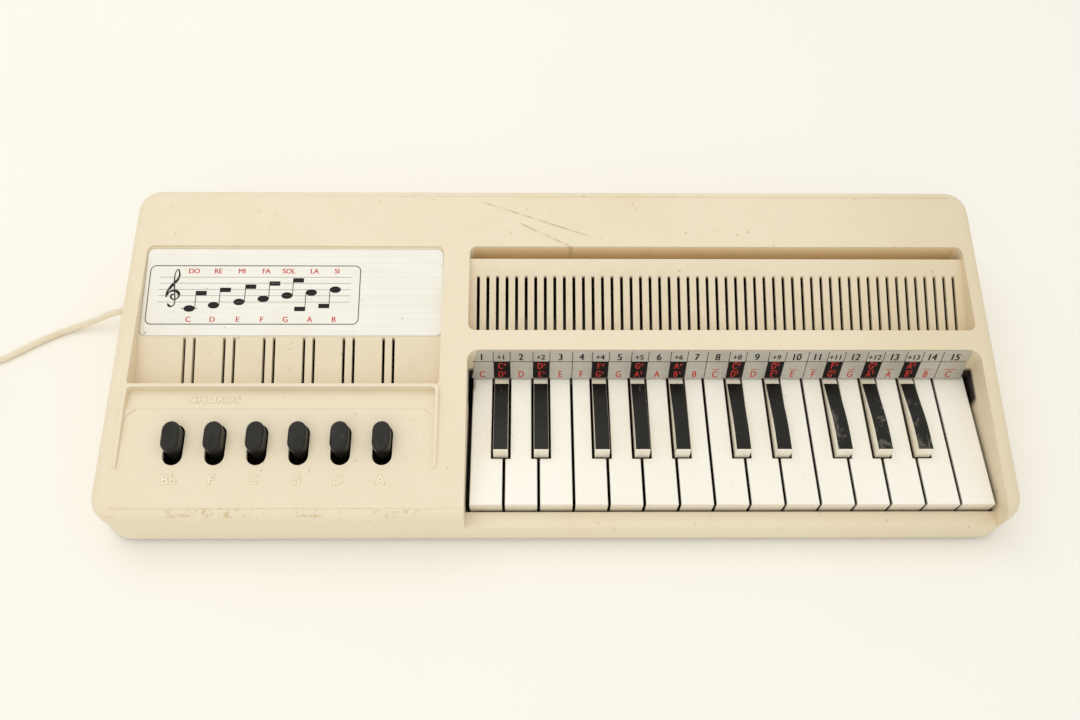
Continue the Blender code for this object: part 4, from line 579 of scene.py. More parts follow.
# painted shade: the letters' rims are darker, as the shade round their foot
RIM_SHADE = plain_finish("letter_rim_shade", srgb(222, 206, 172), srgb(232, 218, 187), 0.5, 900.0)
COVER = cover_finish()
WHITE_KEY = white_key_finish()
BLACK_KEY = black_key_finish()
INLAY = inlay_finish()
BUTTON = button_finish()
PLATE = plate_finish()
STRIP = strip_finish()
CORD = cord_finish()
INK_BLACK = print_finish("ink_black", srgb(26, 25, 22), srgb(50, 47, 41), 0.6)
INK_CELL = print_finish("ink_cell", srgb(20, 16, 13), srgb(38, 31, 25), 0.6)
INK_RED = print_finish("ink_red", srgb(201, 58, 48), srgb(212, 112, 92), 0.4)
INK_GREY = print_finish("ink_grey", srgb(150, 146, 136), srgb(182, 178, 166), 0.45)
STEEL = metal_finish("spring_metal", srgb(196, 197, 200), srgb(150, 148, 144), 0.3)
REED = metal_finish("reed_sheet", srgb(92, 80, 56), srgb(58, 48, 34), 0.4)
MOTOR = metal_finish("motor_can", srgb(176, 177, 180), srgb(122, 120, 116), 0.4)
PIN = metal_finish("plug_pin_nickel", srgb(214, 210, 200), srgb(166, 158, 142), 0.26)
CHEST = plain_finish("chest_moulding", srgb(36, 33, 29), srgb(58, 52, 43), 0.6, 700.0)
RUBBER = plain_finish("foot_rubber", srgb(52, 51, 49), srgb(92, 88, 80), 0.8, 500.0)
TIE = plain_finish("tie_white", srgb(238, 235, 226), srgb(206, 199, 182), 0.5, 600.0)

SLOT_FINISHES = {
    "case_plastic": CASE,
    "cover_plastic": COVER,
    "key_plastic": WHITE_KEY,
    "sharp_plastic": BLACK_KEY,
    "black_plastic": BUTTON,
    "plate_metal": PLATE,
    "strip_metal": STRIP,
    "spring_steel": STEEL,
    "reed_metal": REED,
    "chest_plastic": CHEST,
    "rubber": RUBBER,
    "cord_plastic": CORD,
    "tie_plastic": TIE,
    "motor_metal": MOTOR,
}
SLOT_OF = {part["node"]: part["material_slot"] for part in frame["record"]["subparts"]}
BODY_OF = {
    node: body
    for body, nodes in frame["record"]["behaviour"]["bodies"].items()
    for node in nodes
}

cord.data.materials.append(CORD)


def finish_frame_nodes():
    for name, node in frame["nodes"].items():
        node.data.materials.clear()
        node.data.materials.append(SLOT_FINISHES[SLOT_OF[name]])


finish_frame_nodes()


# Pieces: helpers

SMOOTH_ANGLE = math.radians(38.0)
FLAT_ANGLE = math.radians(0.3)
MERGE = 0.004 * MM


def new_piece(name, bm, made_of, body):
    """A finished piece from a bmesh in metres, on its body."""
    mesh = bpy.data.meshes.new(name)
    bm.to_mesh(mesh)
    bm.free()
    mesh.materials.append(made_of)
    piece = bpy.data.objects.new(name, mesh)
    bpy.context.scene.collection.objects.link(piece)
    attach(piece, body)
    return piece


def soften(bm):
    """Smooth shading, with a hard line where faces meet sharply."""
    for face in bm.faces:
        face.smooth = True
    for edge in bm.edges:
        edge.smooth = len(edge.link_faces) == 2 and edge.calc_face_angle(0.0) < SMOOTH_ANGLE


def merged_copy(name):
    """A bmesh of a frame node, its loose triangles joined."""
    bm = bmesh.new()
    bm.from_mesh(frame["nodes"][name].data)
    bmesh.ops.remove_doubles(bm, verts=bm.verts, dist=MERGE)
    bmesh.ops.dissolve_limit(bm, angle_limit=FLAT_ANGLE, verts=bm.verts, edges=bm.edges)
    return bm


def dress(name, edge_width, segments=2):
    """The node's own shape with even shading and softened edges, in its place."""
    bm = merged_copy(name)
    soften(bm)
    slot_name = SLOT_OF[name]
    piece = new_piece(f"{name}_shell", bm, SLOT_FINISHES[slot_name], BODY_OF[name])
    if edge_width:
        bevel = piece.modifiers.new("edge", "BEVEL")
        bevel.width = edge_width * MM
        bevel.segments = segments
        bevel.limit_method = "ANGLE"
        bevel.angle_limit = SMOOTH_ANGLE
        bevel.harden_normals = True
    even = piece.modifiers.new("even_shading", "WEIGHTED_NORMAL")
    even.keep_sharp = True
    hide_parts(name)
    return piece


# Case, keys and buttons

EDGE_WIDTHS = {
    "top_case": 0.0,
    "bottom_cover": 0.0,
    "white_key": 0.35,
    "black_key": 0.0,
    "chord_button": 0.4,
    "foot": 0.2,
    "case_screw": 0.2,
}

for start, edge_width in EDGE_WIDTHS.items():
    for name in frame["nodes"]:
        if name.startswith(start):
            dress(name, edge_width)

CREST_HALF = 3.9
INLAY_HALF = 4.5
INLAY_FRONT = -67.0
INLAY_BACK = -17.3
INLAY_LIFT = 0.12
INLAY_THICKNESS = 0.5


def make_inlay(name):
    """A black plate that follows the crest of a black key."""
    low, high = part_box(name)
    centre = (low.x + high.x) / 2
    bm = merged_copy(name)
    cuts = (
        ((centre - CREST_HALF * MM, 0, 0), (-1, 0, 0)),
        ((centre + CREST_HALF * MM, 0, 0), (1, 0, 0)),
        ((0, INLAY_FRONT * MM, 0), (0, -1, 0)),
        ((0, INLAY_BACK * MM, 0), (0, 1, 0)),
    )
    for place, outward in cuts:
        everything = bm.verts[:] + bm.edges[:] + bm.faces[:]
        bmesh.ops.bisect_plane(bm, geom=everything, plane_co=place, plane_no=outward, clear_outer=True)
    hidden = [face for face in bm.faces if face.normal.z < 0.5]
    bmesh.ops.delete(bm, geom=hidden, context="FACES")
    reach = max(abs(vert.co.x - centre) for vert in bm.verts)
    for vert in bm.verts:
        vert.co.x = centre + (vert.co.x - centre) * INLAY_HALF * MM / reach
        vert.co.z += INLAY_LIFT * MM
    tops = bm.faces[:]
    sunk = bmesh.ops.extrude_face_region(bm, geom=tops, use_keep_orig=True)
    lower = [part for part in sunk["geom"] if isinstance(part, bmesh.types.BMVert)]
    bmesh.ops.translate(bm, verts=lower, vec=(0, 0, -INLAY_THICKNESS * MM))
    bmesh.ops.recalc_face_normals(bm, faces=bm.faces)
    soften(bm)
    return new_piece(f"{name}_inlay", bm, INLAY, BODY_OF[name])


for name in frame["nodes"]:
    if name.startswith("black_key"):
        make_inlay(name)


# Printing: flat shapes in millimetres on a slope, x across, y up the slope, z off it

PRINT_LOW = 0.01
PRINT_HIGH = 0.05
SECOND_LOW = 0.05
SECOND_HIGH = 0.09
CAPITAL_SHARE = 0.682
BOLD_LIFT = 0.05


def slope_place(name, tilt, foot_y):
    """From millimetres on a node's upper face, counted from foot_y, to the frame's metres."""
    off = Vector((0.0, -math.sin(tilt), math.cos(tilt)))
    level = max(vertex.co.dot(off) for vertex in frame["nodes"][name].data.vertices)
    foot_z = (level + math.sin(tilt) * foot_y * MM) / math.cos(tilt)
    axes = Matrix(((1.0, 0.0, 0.0), (0.0, math.cos(tilt), math.sin(tilt)), off)).transposed()
    return Matrix.Translation((0.0, foot_y * MM, foot_z)) @ axes.to_4x4() @ Matrix.Scale(MM, 4)


def slab(bm, x0, x1, y0, y1, low=PRINT_LOW, high=PRINT_HIGH):
    made = bmesh.ops.create_cube(bm, size=1.0)["verts"]
    bmesh.ops.scale(bm, verts=made, vec=(x1 - x0, y1 - y0, high - low))
    bmesh.ops.translate(bm, verts=made, vec=((x0 + x1) / 2, (y0 + y1) / 2, (low + high) / 2))
    return made


def curve_mesh(curve):
    """A curve or text made a mesh, in its own coordinates."""
    holder = bpy.data.objects.new("pattern", curve)
    bpy.context.scene.collection.objects.link(holder)
    bpy.context.view_layer.update()
    graph = bpy.context.evaluated_depsgraph_get()
    mesh = bpy.data.meshes.new_from_object(holder.evaluated_get(graph))
    bpy.data.objects.remove(holder)
    return mesh


def letters(bm, words, x, y, height, bold=0.0, wide=1.0, low=PRINT_LOW, high=PRINT_HIGH):
    """Printed words centred on x, y, with capitals of that height, drawn twice when bold."""
    text = bpy.data.curves.new("words", "FONT")
    text.body = words
    text.align_x = "CENTER"
    text.size = height / CAPITAL_SHARE
    text.extrude = (high - low) / 2
    pattern = curve_mesh(text)
    for step in (-bold, bold) if bold else (0.0,):
        mesh = pattern.copy()
        lift = (low + high) / 2 + max(step, 0.0) * BOLD_LIFT
        place = Matrix.Translation((x + step, y - height / 2, lift))
        mesh.transform(place @ Matrix.Scale(wide, 4, (1, 0, 0)))
        bm.from_mesh(mesh)
        bpy.data.meshes.remove(mesh)
    bpy.data.meshes.remove(pattern)


def printed(name, bm, place, made_of):
    bmesh.ops.recalc_face_normals(bm, faces=bm.faces)
    bmesh.ops.transform(bm, matrix=place, verts=bm.verts)
    return new_piece(name, bm, made_of, "case")


# Chart on the plate

PLATE_TILT, PLATE_FOOT_Y = math.radians(13.7), 8.1
PLATE_PLACE = slope_place("chart_plate", PLATE_TILT, PLATE_FOOT_Y)
CHART_LEFT, CHART_RIGHT = -270.8, -130.5
CHART_FRONT, CHART_BACK = 7.9, 49.4
CHART_CORNER = 4.0
CHART_LINE = 0.55
STAFF_LEFT, STAFF_RIGHT = -264.0, -136.8
STAFF_LEVELS = (23.5, 27.95, 32.3, 36.75, 41.0)
STAFF_LINE = 0.3
CHART_BOLD = 0.12
NOTES = (
    (-242.5, 19.0), (-226.7, 21.3), (-210.1, 23.6), (-194.3, 25.8), (-178.7, 28.1), (-162.7, 30.2),
    (-146.9, 32.3))
NOTE_LONG, NOTE_SHORT = 3.75, 2.3
STEM_REACH = 3.6
STEM_LINE = 0.45
STEM_UP, STEM_DOWN = 12.3, 13.0
FLAG_LONG, FLAG_THICK = 7.0, 3.1
STEMS_UP = 5
LEDGER_HALF, LEDGER_LINE = 5.4, 0.4
SYLLABLES = ("DO", "RE", "MI", "FA", "SOL", "LA", "SI")
SYLLABLE_PLACES = (-241.5, -225.5, -209.8, -193.6, -178.5, -161.5, -146.4)
SYLLABLE_LEVEL, SYLLABLE_HEIGHT = 45.4, 3.3
NOTE_NAMES = "CDEFGAB"
NAME_LEVEL, NAME_HEIGHT = 11.5, 3.5
CLEF_PLACE = (-259.4, 19.8)
CLEF_LINE = (
    (5.9, 9.3, 0.4), (4.2, 8.5, 0.7), (4.3, 6.6, 0.6), (6.5, 5.5, 0.4), (9.0, 7.0, 0.5),
    (9.0, 9.8, 1.0), (6.2, 11.8, 0.85), (2.8, 10.6, 0.5), (0.9, 7.2, 0.35), (1.4, 11.0, 0.7),
    (4.3, 15.6, 1.0), (7.3, 19.2, 0.8), (8.4, 23.0, 0.6), (7.2, 26.8, 0.35), (5.4, 23.8, 0.35),
    (5.4, 18.0, 0.45), (6.2, 11.0, 0.45), (7.0, 4.2, 0.4), (6.2, 1.3, 0.4), (4.0, 0.6, 0.6),
    (3.2, 1.9, 1.25), (3.4, 2.1, 1.25))


def ring_line(bm, x0, x1, y0, y1, corner, line):
    """A rounded frame line."""
    flat = bmesh.new()
    bmesh.ops.create_grid(flat, x_segments=1, y_segments=1, size=0.5)
    bmesh.ops.scale(flat, verts=flat.verts, vec=(x1 - x0, y1 - y0, 1.0))
    bmesh.ops.translate(flat, verts=flat.verts, vec=((x0 + x1) / 2, (y0 + y1) / 2, PRINT_LOW))
    bmesh.ops.bevel(
        flat, geom=flat.verts[:], offset=corner, segments=8, profile=0.5, affect="VERTICES", material=-1)
    inner = flat.faces[:]
    bmesh.ops.inset_region(flat, faces=inner, thickness=line, use_boundary=True, use_even_offset=True)
    bmesh.ops.delete(flat, geom=inner, context="FACES")
    raised = bmesh.ops.extrude_face_region(flat, geom=flat.faces[:])
    tops = [part for part in raised["geom"] if isinstance(part, bmesh.types.BMVert)]
    bmesh.ops.translate(flat, verts=tops, vec=(0.0, 0.0, PRINT_HIGH - PRINT_LOW))
    add_to(bm, flat)


def add_to(bm, part):
    mesh = bpy.data.meshes.new("part")
    part.to_mesh(mesh)
    part.free()
    bm.from_mesh(mesh)
    bpy.data.meshes.remove(mesh)


def note_head(bm, x, y):
    head = bmesh.new()
    bmesh.ops.create_cone(
        head, cap_ends=True, segments=24, radius1=1.0, radius2=1.0, depth=PRINT_HIGH - PRINT_LOW)
    shape = Matrix.Diagonal((NOTE_LONG, NOTE_SHORT, 1.0, 1.0))
    place = Matrix.Translation((x, y, (PRINT_LOW + PRINT_HIGH) / 2)) @ shape
    bmesh.ops.transform(head, matrix=place, verts=head.verts)
    add_to(bm, head)


def clef(bm):
    line = smooth_line(CLEF_LINE, 0.7)
    curve = bpy.data.curves.new("clef", "CURVE")
    curve.dimensions = "3D"
    curve.bevel_depth = 1.0
    curve.bevel_resolution = 1
    curve.use_fill_caps = True
    spline = curve.splines.new("POLY")
    spline.points.add(len(line) - 1)
    for point, place in zip(spline.points, line):
        point.co = (place.x, place.y, 0.0, 1.0)
        point.radius = place.z
    mesh = curve_mesh(curve)
    half = (PRINT_HIGH - PRINT_LOW) / 2
    centre = (CLEF_PLACE[0], CLEF_PLACE[1], PRINT_LOW + half)
    mesh.transform(Matrix.Translation(centre) @ Matrix.Scale(half, 4, (0, 0, 1)))
    bm.from_mesh(mesh)
    bpy.data.meshes.remove(mesh)


def band(bm, x, y, half_wide, line, low=PRINT_LOW, high=PRINT_HIGH):
    """A printed line across, centred on x and y."""
    return slab(bm, x - half_wide, x + half_wide, y - line / 2, y + line / 2, low, high)


def note(bm, x, y, side):
    """A note's head, its stem on that side, up or down, and its square flag."""
    note_head(bm, x, y)
    stem = x + side * STEM_REACH
    tip = y + STEM_UP if side > 0 else y - STEM_DOWN
    low, high = min(y, tip), max(y, tip)
    slab(bm, stem - STEM_LINE / 2, stem + STEM_LINE / 2, low, high, SECOND_LOW, SECOND_HIGH)
    across = (stem, stem + side * FLAG_LONG)
    down = (tip, tip - side * FLAG_THICK)
    slab(bm, min(across), max(across), min(down), max(down))


def make_chart():
    grey = bmesh.new()
    for level in STAFF_LEVELS:
        slab(grey, STAFF_LEFT, STAFF_RIGHT, level - STAFF_LINE / 2, level + STAFF_LINE / 2)
    printed("chart_staff", grey, PLATE_PLACE, INK_GREY)
    dark = bmesh.new()
    ring_line(dark, CHART_LEFT, CHART_RIGHT, CHART_FRONT, CHART_BACK, CHART_CORNER, CHART_LINE)
    clef(dark)
    for number, (x, y) in enumerate(NOTES):
        note(dark, x, y, 1 if number < STEMS_UP else -1)
    band(dark, *NOTES[0], LEDGER_HALF, LEDGER_LINE, SECOND_LOW, SECOND_HIGH)
    printed("chart_notes", dark, PLATE_PLACE, INK_BLACK)
    red = bmesh.new()
    for word, x in zip(SYLLABLES, SYLLABLE_PLACES):
        letters(red, word, x, SYLLABLE_LEVEL, SYLLABLE_HEIGHT, bold=CHART_BOLD)
    for word, (x, _) in zip(NOTE_NAMES, NOTES):
        letters(red, word, x, NAME_LEVEL, NAME_HEIGHT, bold=CHART_BOLD)
    printed("chart_names", red, PLATE_PLACE, INK_RED)


make_chart()


# Numbers and names on the strip behind the keys

STRIP_TILT, STRIP_FOOT_Y = math.radians(73.0), -12.9
STRIP_PLACE = slope_place("key_label_strip", STRIP_TILT, STRIP_FOOT_Y)
PRINT_X0 = -55.7
KEY_PITCH = 22.0
WHITE_COUNT = 15
OCTAVE = 7
BLACK_AFTER = (0, 1, 3, 4, 5)
BLACK_OFFSETS = (-2.1, 1.7, -3.6, 0.0, 3.6)
PLUS_AFTER = (1, 2, 4, 5, 6, 8, 9, 11, 12, 13)
SHARP_NAMES = "CDFGA"
FLAT_NAMES = "DEGAB"
CELL_HALF = 5.5
CELL_LOW, CELL_HIGH = 0.35, 15.1
MID_LEVEL = 15.3
DIVIDER = 0.42
STRIP_END = 24.4
MID_LINE = (PRINT_X0 + 0.6, PRINT_X0 + WHITE_COUNT * KEY_PITCH - 5.4)
NUMBER_SHIFT = -0.4
NUMBER_LEVEL, NUMBER_HEIGHT, NUMBER_BOLD, NUMBER_WIDE = 19.5, 5.6, 0.19, 0.8
PLUS_LEVEL, PLUS_HEIGHT, PLUS_BOLD, PLUS_WIDE = 19.3, 4.1, 0.14, 0.9
LAST_CELL = 17.4
RED_LEVEL, RED_HEIGHT, RED_BOLD, RED_WIDE = 3.9, 5.5, 0.14, 0.68
SHARP_LEVEL, FLAT_LEVEL = 11.5, 4.1
CELL_LETTER, CELL_BOLD, CELL_WIDE, CELL_BACK = 5.1, 0.12, 0.64, 0.9
SIGN_HEIGHT, SIGN_BOLD, SIGN_WIDE, SIGN_AHEAD, SIGN_UP = 2.3, 0.06, 0.75, 1.9, 1.3
BAR_LEVEL, BAR_HALF, BAR_LINE, BAR_GAP = 8.0, 2.4, 0.45, 0.4
LAST_BAR_HALF = 4.0


def black_places():
    """The white key before each black key, and the middle of the black key's cell."""
    found = []
    for white in range(WHITE_COUNT - 1):
        if white % OCTAVE in BLACK_AFTER:
            offset = BLACK_OFFSETS[BLACK_AFTER.index(white % OCTAVE)]
            found.append((white, PRINT_X0 + (white + 1) * KEY_PITCH + offset))
    return found


def accidental(bm, letter, sign, x, level):
    """A letter with a small raised sign beside it."""
    letters(
        bm, letter, x - CELL_BACK, level, CELL_LETTER, CELL_BOLD, CELL_WIDE, SECOND_LOW, SECOND_HIGH)
    letters(
        bm, sign, x + SIGN_AHEAD, level + SIGN_UP, SIGN_HEIGHT, SIGN_BOLD, SIGN_WIDE, SECOND_LOW,
        SECOND_HIGH)


def upright(bm, x, low):
    """A dividing line from low to the strip's upper edge."""
    slab(bm, x - DIVIDER / 2, x + DIVIDER / 2, low, STRIP_END)


def print_black_cell(dark, cells, red, number, white, x):
    """The cell of one black key, behind the white key of that number."""
    slab(cells, x - CELL_HALF, x + CELL_HALF, CELL_LOW, CELL_HIGH)
    for side in (-1, 1):
        upright(dark, x + side * CELL_HALF, MID_LEVEL)
    words = f"+{PLUS_AFTER[number]}"
    letters(dark, words, x + NUMBER_SHIFT, PLUS_LEVEL, PLUS_HEIGHT, PLUS_BOLD, PLUS_WIDE)
    kind = BLACK_AFTER.index(white % OCTAVE)
    accidental(red, SHARP_NAMES[kind], "#", x, SHARP_LEVEL)
    accidental(red, FLAT_NAMES[kind], "b", x, FLAT_LEVEL)
    if white >= OCTAVE:
        for level in (SHARP_LEVEL, FLAT_LEVEL):
            bar = level + CELL_LETTER / 2 + BAR_GAP
            slab(red, x - BAR_HALF, x + BAR_HALF, bar, bar + BAR_LINE, SECOND_LOW, SECOND_HIGH)


def white_cell(white, cell_of):
    """The left and right of a white key's cell, beside the black keys' cells."""
    left = PRINT_X0 + white * KEY_PITCH
    right = left + (LAST_CELL if white == WHITE_COUNT - 1 else KEY_PITCH)
    if white - 1 in cell_of:
        left = cell_of[white - 1] + CELL_HALF
    if white in cell_of:
        right = cell_of[white] - CELL_HALF
    return left, right


def print_white_cell(dark, red, white, cell_of):
    left, right = white_cell(white, cell_of)
    if white and white - 1 not in cell_of:
        upright(dark, left, CELL_LOW)
    centre = (left + right) / 2 + NUMBER_SHIFT
    words = str(white + 1)
    letters(dark, words, centre, NUMBER_LEVEL, NUMBER_HEIGHT, NUMBER_BOLD, NUMBER_WIDE)
    letters(red, NOTE_NAMES[white % OCTAVE], centre, RED_LEVEL, RED_HEIGHT, RED_BOLD, RED_WIDE)
    if white >= OCTAVE:
        half = LAST_BAR_HALF if white == WHITE_COUNT - 1 else BAR_HALF
        slab(red, centre - half, centre + half, BAR_LEVEL, BAR_LEVEL + BAR_LINE)


def make_strip_print():
    dark = bmesh.new()
    cells = bmesh.new()
    red = bmesh.new()
    slab(dark, *MID_LINE, MID_LEVEL - DIVIDER / 2, MID_LEVEL + DIVIDER / 2)
    blacks = black_places()
    for number, (white, x) in enumerate(blacks):
        print_black_cell(dark, cells, red, number, white, x)
    cell_of = dict(blacks)
    for white in range(WHITE_COUNT):
        print_white_cell(dark, red, white, cell_of)
    printed("strip_cells", cells, STRIP_PLACE, INK_CELL)
    printed("strip_numbers", dark, STRIP_PLACE, INK_BLACK)
    printed("strip_names", red, STRIP_PLACE, INK_RED)


make_strip_print()


# Raised letters on the case

CHORD_NAMES = ("Bb", "F", "C", "G", "D", "A")
CHORD_FIRST_X = -238.6
CHORD_PITCH = 25.86
CHORD_NAME_Y = -89.0
CHORD_NAME_HEIGHT = 6.0
HEADING = "CHORDS"
HEADING_PLACE = (-217.0, -37.6)
HEADING_HEIGHT = 4.4
LETTER_SPACING = 1.12
LETTER_RISE = 0.5
LETTER_ROUND = 0.16
RIM_WIDTH = 0.5
RIM_RISE = 0.06


def raised_letters(bm, words, x, y, height, wide, surface, swell, rise):
    """Filled letters that swell outwards and rise from the case, laid on it where it slopes."""
    text = bpy.data.curves.new("words", "FONT")
    text.body = words
    text.align_x = "CENTER"
    text.size = height / CAPITAL_SHARE
    text.space_character = LETTER_SPACING
    text.bevel_depth = swell
    text.bevel_resolution = 1
    text.extrude = swell
    mesh = curve_mesh(text)
    above = Vector((x * MM, y * MM, 0.2))
    hit, normal, _, _ = surface.ray_cast(above, Vector((0.0, 0.0, -1.0)))
    across = Vector((1.0, 0.0, 0.0))
    up_slope = normal.cross(across).normalized()
    axes = Matrix((across, up_slope, normal)).transposed().to_4x4()
    place = Matrix.Translation(hit) @ axes @ Matrix.Scale(MM, 4)
    flat = Matrix.Scale(rise / (2 * swell), 4, (0, 0, 1))
    shape = Matrix.Translation((0.0, -height / 2, 0.0)) @ Matrix.Scale(wide, 4, (1, 0, 0))
    mesh.transform(place @ shape @ flat)
    bm.from_mesh(mesh)
    bpy.data.meshes.remove(mesh)


def make_raised_letters():
    case = merged_copy("top_case")
    surface = BVHTree.FromBMesh(case)
    case.free()
    words = [
        (word, CHORD_FIRST_X + number * CHORD_PITCH, CHORD_NAME_Y, CHORD_NAME_HEIGHT, 1.0)
        for number, word in enumerate(CHORD_NAMES)]
    words.append((HEADING, *HEADING_PLACE, HEADING_HEIGHT, 1.15))
    names = bmesh.new()
    shade_rims = bmesh.new()
    for word, x, y, height, wide in words:
        raised_letters(names, word, x, y, height, wide, surface, LETTER_ROUND, LETTER_RISE)
        # each letter also gets a wider, low, darker rim: painted shade round its foot
        raised_letters(shade_rims, word, x, y, height, wide, surface, RIM_WIDTH, RIM_RISE)
    new_piece("chord_names", names, RAISED_LIGHTENED, "case")
    new_piece("chord_name_rim_shade", shade_rims, RIM_SHADE, "case")


make_raised_letters()


# Cord fittings: strain relief, tie and plug

RELIEF_Y, RELIEF_Z = 51.0, 14.0
RELIEF_LINE = (
    (-281.0, 0.0), (-281.0, 4.9), (-286.4, 4.9), (-286.4, 6.3), (-286.7, 6.5), (-287.5, 6.5),
    (-287.8, 6.2), (-287.8, 5.0))
RELIEF_RINGS = 6
RELIEF_RING_PITCH = 2.9
RELIEF_RING_START = -288.6
RELIEF_TAPER = (4.85, 3.3)
RELIEF_GROOVE = 0.7


TURN_MERGE = 0.004
TURN_STEPS, PIN_STEPS = 28, 24


def turned(line, steps):
    """A solid in millimetres turned about the X axis from points of x and radius."""
    bm = bmesh.new()
    points = [bm.verts.new((x, 0.0, radius)) for x, radius in line]
    edges = [bm.edges.new(pair) for pair in zip(points, points[1:])]
    bmesh.ops.spin(
        bm, geom=points + edges, cent=(0, 0, 0), axis=(1, 0, 0), angle=2 * math.pi, steps=steps,
        use_merge=True)
    bmesh.ops.remove_doubles(bm, verts=bm.verts, dist=TURN_MERGE)
    return bm


def relief_line():
    """The sleeve's outline: its collar, then rings that grow thinner with a groove after each."""
    line = list(RELIEF_LINE)
    wide, thin = RELIEF_TAPER
    x = RELIEF_RING_START
    for ring in range(RELIEF_RINGS):
        radius = wide + (thin - wide) * ring / RELIEF_RINGS
        foot = radius - RELIEF_GROOVE
        line += [(x, radius), (x - 1.5, radius - 0.05), (x - 1.8, foot), (x - 2.5, foot)]
        x -= RELIEF_RING_PITCH
    return line + [(x, thin), (-308.2, thin - 0.1), (-308.3, 2.6), (-308.3, 0.0)]


def make_relief():
    """A tapered sleeve with grooves round it, turned about the cord."""
    bm = turned(relief_line(), TURN_STEPS)
    place = Matrix.Scale(MM, 4) @ Matrix.Translation((0.0, RELIEF_Y, RELIEF_Z))
    bmesh.ops.transform(bm, matrix=place, verts=bm.verts)
    bmesh.ops.recalc_face_normals(bm, faces=bm.faces)
    soften(bm)
    piece = new_piece("relief_sleeve", bm, CORD, "case")
    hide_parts("strain_relief")
    return piece


PLUG_LENGTH, PLUG_WIDTH = 34.0, 26.0
PLUG_NOSE, PLUG_NOSE_WIDTH, PLUG_NOSE_STEP = 9.0, 9.0, 2.0
PLUG_FLOOR = 0.1
PIN_LENGTH, PIN_RADIUS, PIN_SPACING = 19.0, 2.0, 19.0
PIN_TIP = ((1.6, PIN_RADIUS), (0.6, 1.6), (0.05, 0.9), (0.0, 0.0))
PLUG_CORNER, PLUG_EDGE = 7.0, 1.6
GRIP_RIBS, GRIP_START, GRIP_PITCH, GRIP_LONG, GRIP_WIDE, GRIP_HIGH = 5, 15.0, 2.6, 1.2, 12.0, 0.5
NOSE_EDGE, NOSE_START, NOSE_SUNK = 3.2, 0.2, 0.4
NOSE_RINGS, NOSE_RING_START, NOSE_RING_PITCH, NOSE_RING_WIDE = 3, 1.6, 2.4, 0.8
NOSE_WAIST = 0.84
NEAR = 0.01


def plug_place():
    """The plug's place at the cord's end, from its own millimetres to metres."""
    start = cord_points[-1]
    along = (cord_points[-1] - cord_points[-2]).normalized()
    turn = Matrix.Rotation(math.atan2(along.y, along.x), 4, "Z")
    return Matrix.Scale(MM, 4) @ Matrix.Translation(start + along * PLUG_GAP) @ turn


def plug_block(x0, x1, width, height):
    bm = bmesh.new()
    bmesh.ops.create_cube(bm, size=1.0)
    bmesh.ops.scale(bm, verts=bm.verts, vec=(x1 - x0, width, height))
    bmesh.ops.translate(bm, verts=bm.verts, vec=((x0 + x1) / 2, 0.0, 0.0))
    return bm


def round_edges(bm, edges, offset, segments):
    bmesh.ops.bevel(
        bm, geom=edges, offset=offset, segments=segments, profile=0.5, affect="EDGES", material=-1)


def plug_piece(name, bm, made_of):
    """A piece of the plug from a bmesh in the plug's own millimetres."""
    bmesh.ops.transform(bm, matrix=plug_place(), verts=bm.verts)
    soften(bm)
    return new_piece(name, bm, made_of, "case")


def make_plug_body(half):
    """The flat rounded body, with grip ribs on both faces."""
    body = plug_block(PLUG_NOSE, PLUG_LENGTH, PLUG_WIDTH, 2 * half)
    upright_edges = [
        edge for edge in body.edges if abs(edge.verts[0].co.z - edge.verts[1].co.z) > half]
    back = [
        edge for edge in upright_edges if all(vert.co.x < PLUG_LENGTH / 2 for vert in edge.verts)]
    round_edges(body, back, PLUG_CORNER, 6)
    rim = [edge for edge in body.edges if edge.calc_face_angle(0.0) > math.radians(60)]
    round_edges(body, rim, PLUG_EDGE, 4)
    for rib in range(GRIP_RIBS):
        for side in (-1, 1):
            part = plug_block(0.0, GRIP_LONG, GRIP_WIDE, GRIP_HIGH)
            round_edges(part, part.edges[:], 0.2, 2)
            place = (GRIP_START + rib * GRIP_PITCH, 0.0, side * (half - GRIP_HIGH / 2))
            bmesh.ops.translate(part, verts=part.verts, vec=place)
            add_to(body, part)
    shell = plug_piece("plug_body", body, CORD)
    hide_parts("plug")
    return shell


def make_plug_nose(half):
    """The narrow nose where the cord goes in, with three grooves."""
    nose = plug_block(NOSE_START, PLUG_NOSE + NOSE_SUNK, PLUG_NOSE_WIDTH, 2 * half)
    long_edges = [edge for edge in nose.edges if abs(edge.verts[0].co.x - edge.verts[1].co.x) > 1.0]
    round_edges(nose, long_edges, NOSE_EDGE, 5)
    for ring in range(NOSE_RINGS):
        start = NOSE_RING_START + ring * NOSE_RING_PITCH
        end = start + NOSE_RING_WIDE
        for x in (start, end):
            everything = nose.verts[:] + nose.edges[:] + nose.faces[:]
            bmesh.ops.bisect_plane(nose, geom=everything, plane_co=(x, 0, 0), plane_no=(1, 0, 0))
        groove = [vert for vert in nose.verts if start - NEAR < vert.co.x < end + NEAR]
        bmesh.ops.scale(nose, verts=groove, vec=(1.0, NOSE_WAIST, NOSE_WAIST))
    return plug_piece("plug_nose", nose, CORD)


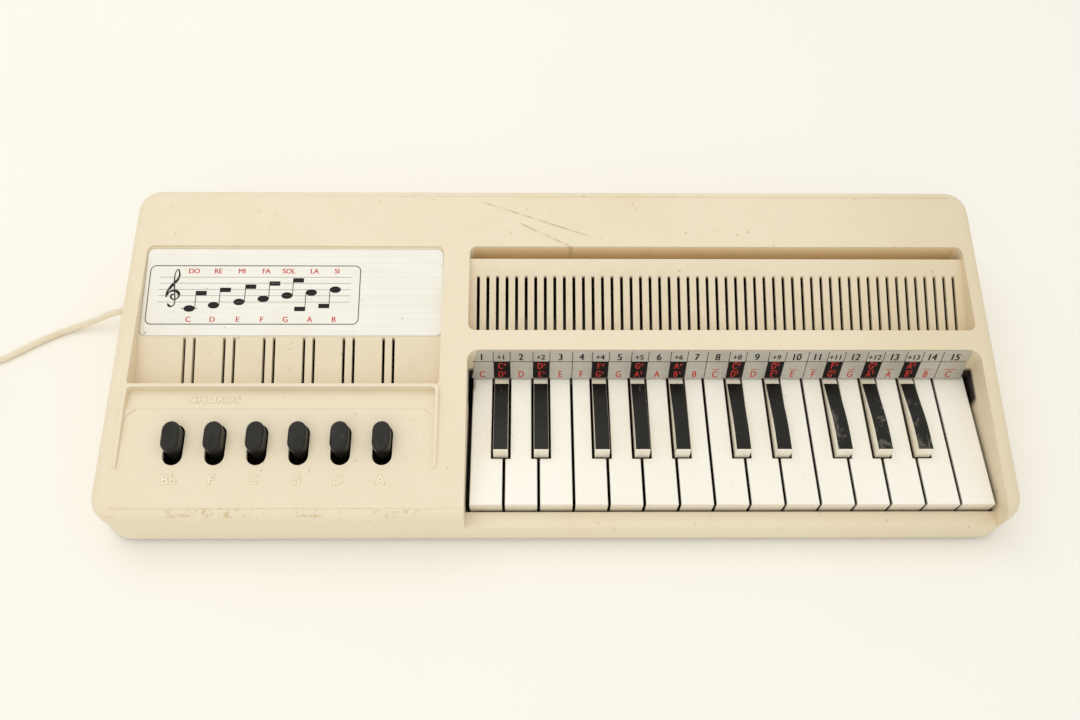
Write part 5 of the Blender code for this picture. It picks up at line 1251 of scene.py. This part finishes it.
def make_plug_pins():
    """Two round pins with rounded tips."""
    line = [(0.0, 0.0), (0.0, PIN_RADIUS)]
    line += [(PIN_LENGTH - back, radius) for back, radius in PIN_TIP]
    pins = bmesh.new()
    for side in (-1, 1):
        pin = turned(line, PIN_STEPS)
        place = (PLUG_LENGTH - 0.2, side * PIN_SPACING / 2, 0.0)
        bmesh.ops.translate(pin, verts=pin.verts, vec=place)
        add_to(pins, pin)
    bmesh.ops.recalc_face_normals(pins, faces=pins.faces)
    return plug_piece("plug_pins", pins, PIN)


def make_plug():
    """A flat two-pin plug whose underside lies on the floor."""
    half = cord_points[-1].z - PLUG_FLOOR
    return [make_plug_body(half), make_plug_nose(half - PLUG_NOSE_STEP), make_plug_pins()]


relief = make_relief()
plug_pieces = make_plug()
tie = dress("cord_tie", 0.15)


# Floor and light

FLOOR_SIZE = 8.0
LAMPS = (
    ("window", (-0.5, 0.5, 1.5), 1.4, 4.2, (1.0, 0.985, 0.95)),
    ("fill", (-0.2, -0.9, 1.4), 1.6, 2.5, (1.0, 0.98, 0.94)),
)
SKY_COLOUR, SKY_STRENGTH = (1.0, 0.985, 0.95, 1.0), 0.82


def make_floor():
    """A plain pale floor that the camera sees as near white, with the object's shadow on it."""
    bm = bmesh.new()
    bmesh.ops.create_grid(bm, x_segments=1, y_segments=1, size=FLOOR_SIZE / 2)
    mesh = bpy.data.meshes.new("floor")
    bm.to_mesh(mesh)
    bm.free()
    floor = bpy.data.objects.new("floor", mesh)
    bpy.context.scene.collection.objects.link(floor)
    made = new_material("floor_paper", 0.9)
    tone = between(made, noise(made, 3.0, 2.0), 0.3, 0.7)
    finish_colour(made, mix(made, tone, srgb(253, 251, 245), srgb(252, 250, 243)))
    mesh.materials.append(made)


def make_lamp(name, place, size, power, colour):
    """A soft round lamp aimed at the frame's origin."""
    data = bpy.data.lights.new(name, "AREA")
    data.shape = "DISK"
    data.size = size
    data.energy = power
    data.color = colour
    lamp = bpy.data.objects.new(name, data)
    lamp.location = place
    lamp.rotation_euler = (-Vector(place)).to_track_quat("-Z", "Y").to_euler()
    bpy.context.scene.collection.objects.link(lamp)


def make_sky():
    world = bpy.data.worlds.new("sky")
    world.use_nodes = True
    sky = world.node_tree.nodes["Background"]
    sky.inputs["Color"].default_value = SKY_COLOUR
    sky.inputs["Strength"].default_value = SKY_STRENGTH
    bpy.context.scene.world = world


make_floor()
for lamp in LAMPS:
    make_lamp(*lamp)
make_sky()
bpy.context.scene.view_settings.view_transform = "Standard"
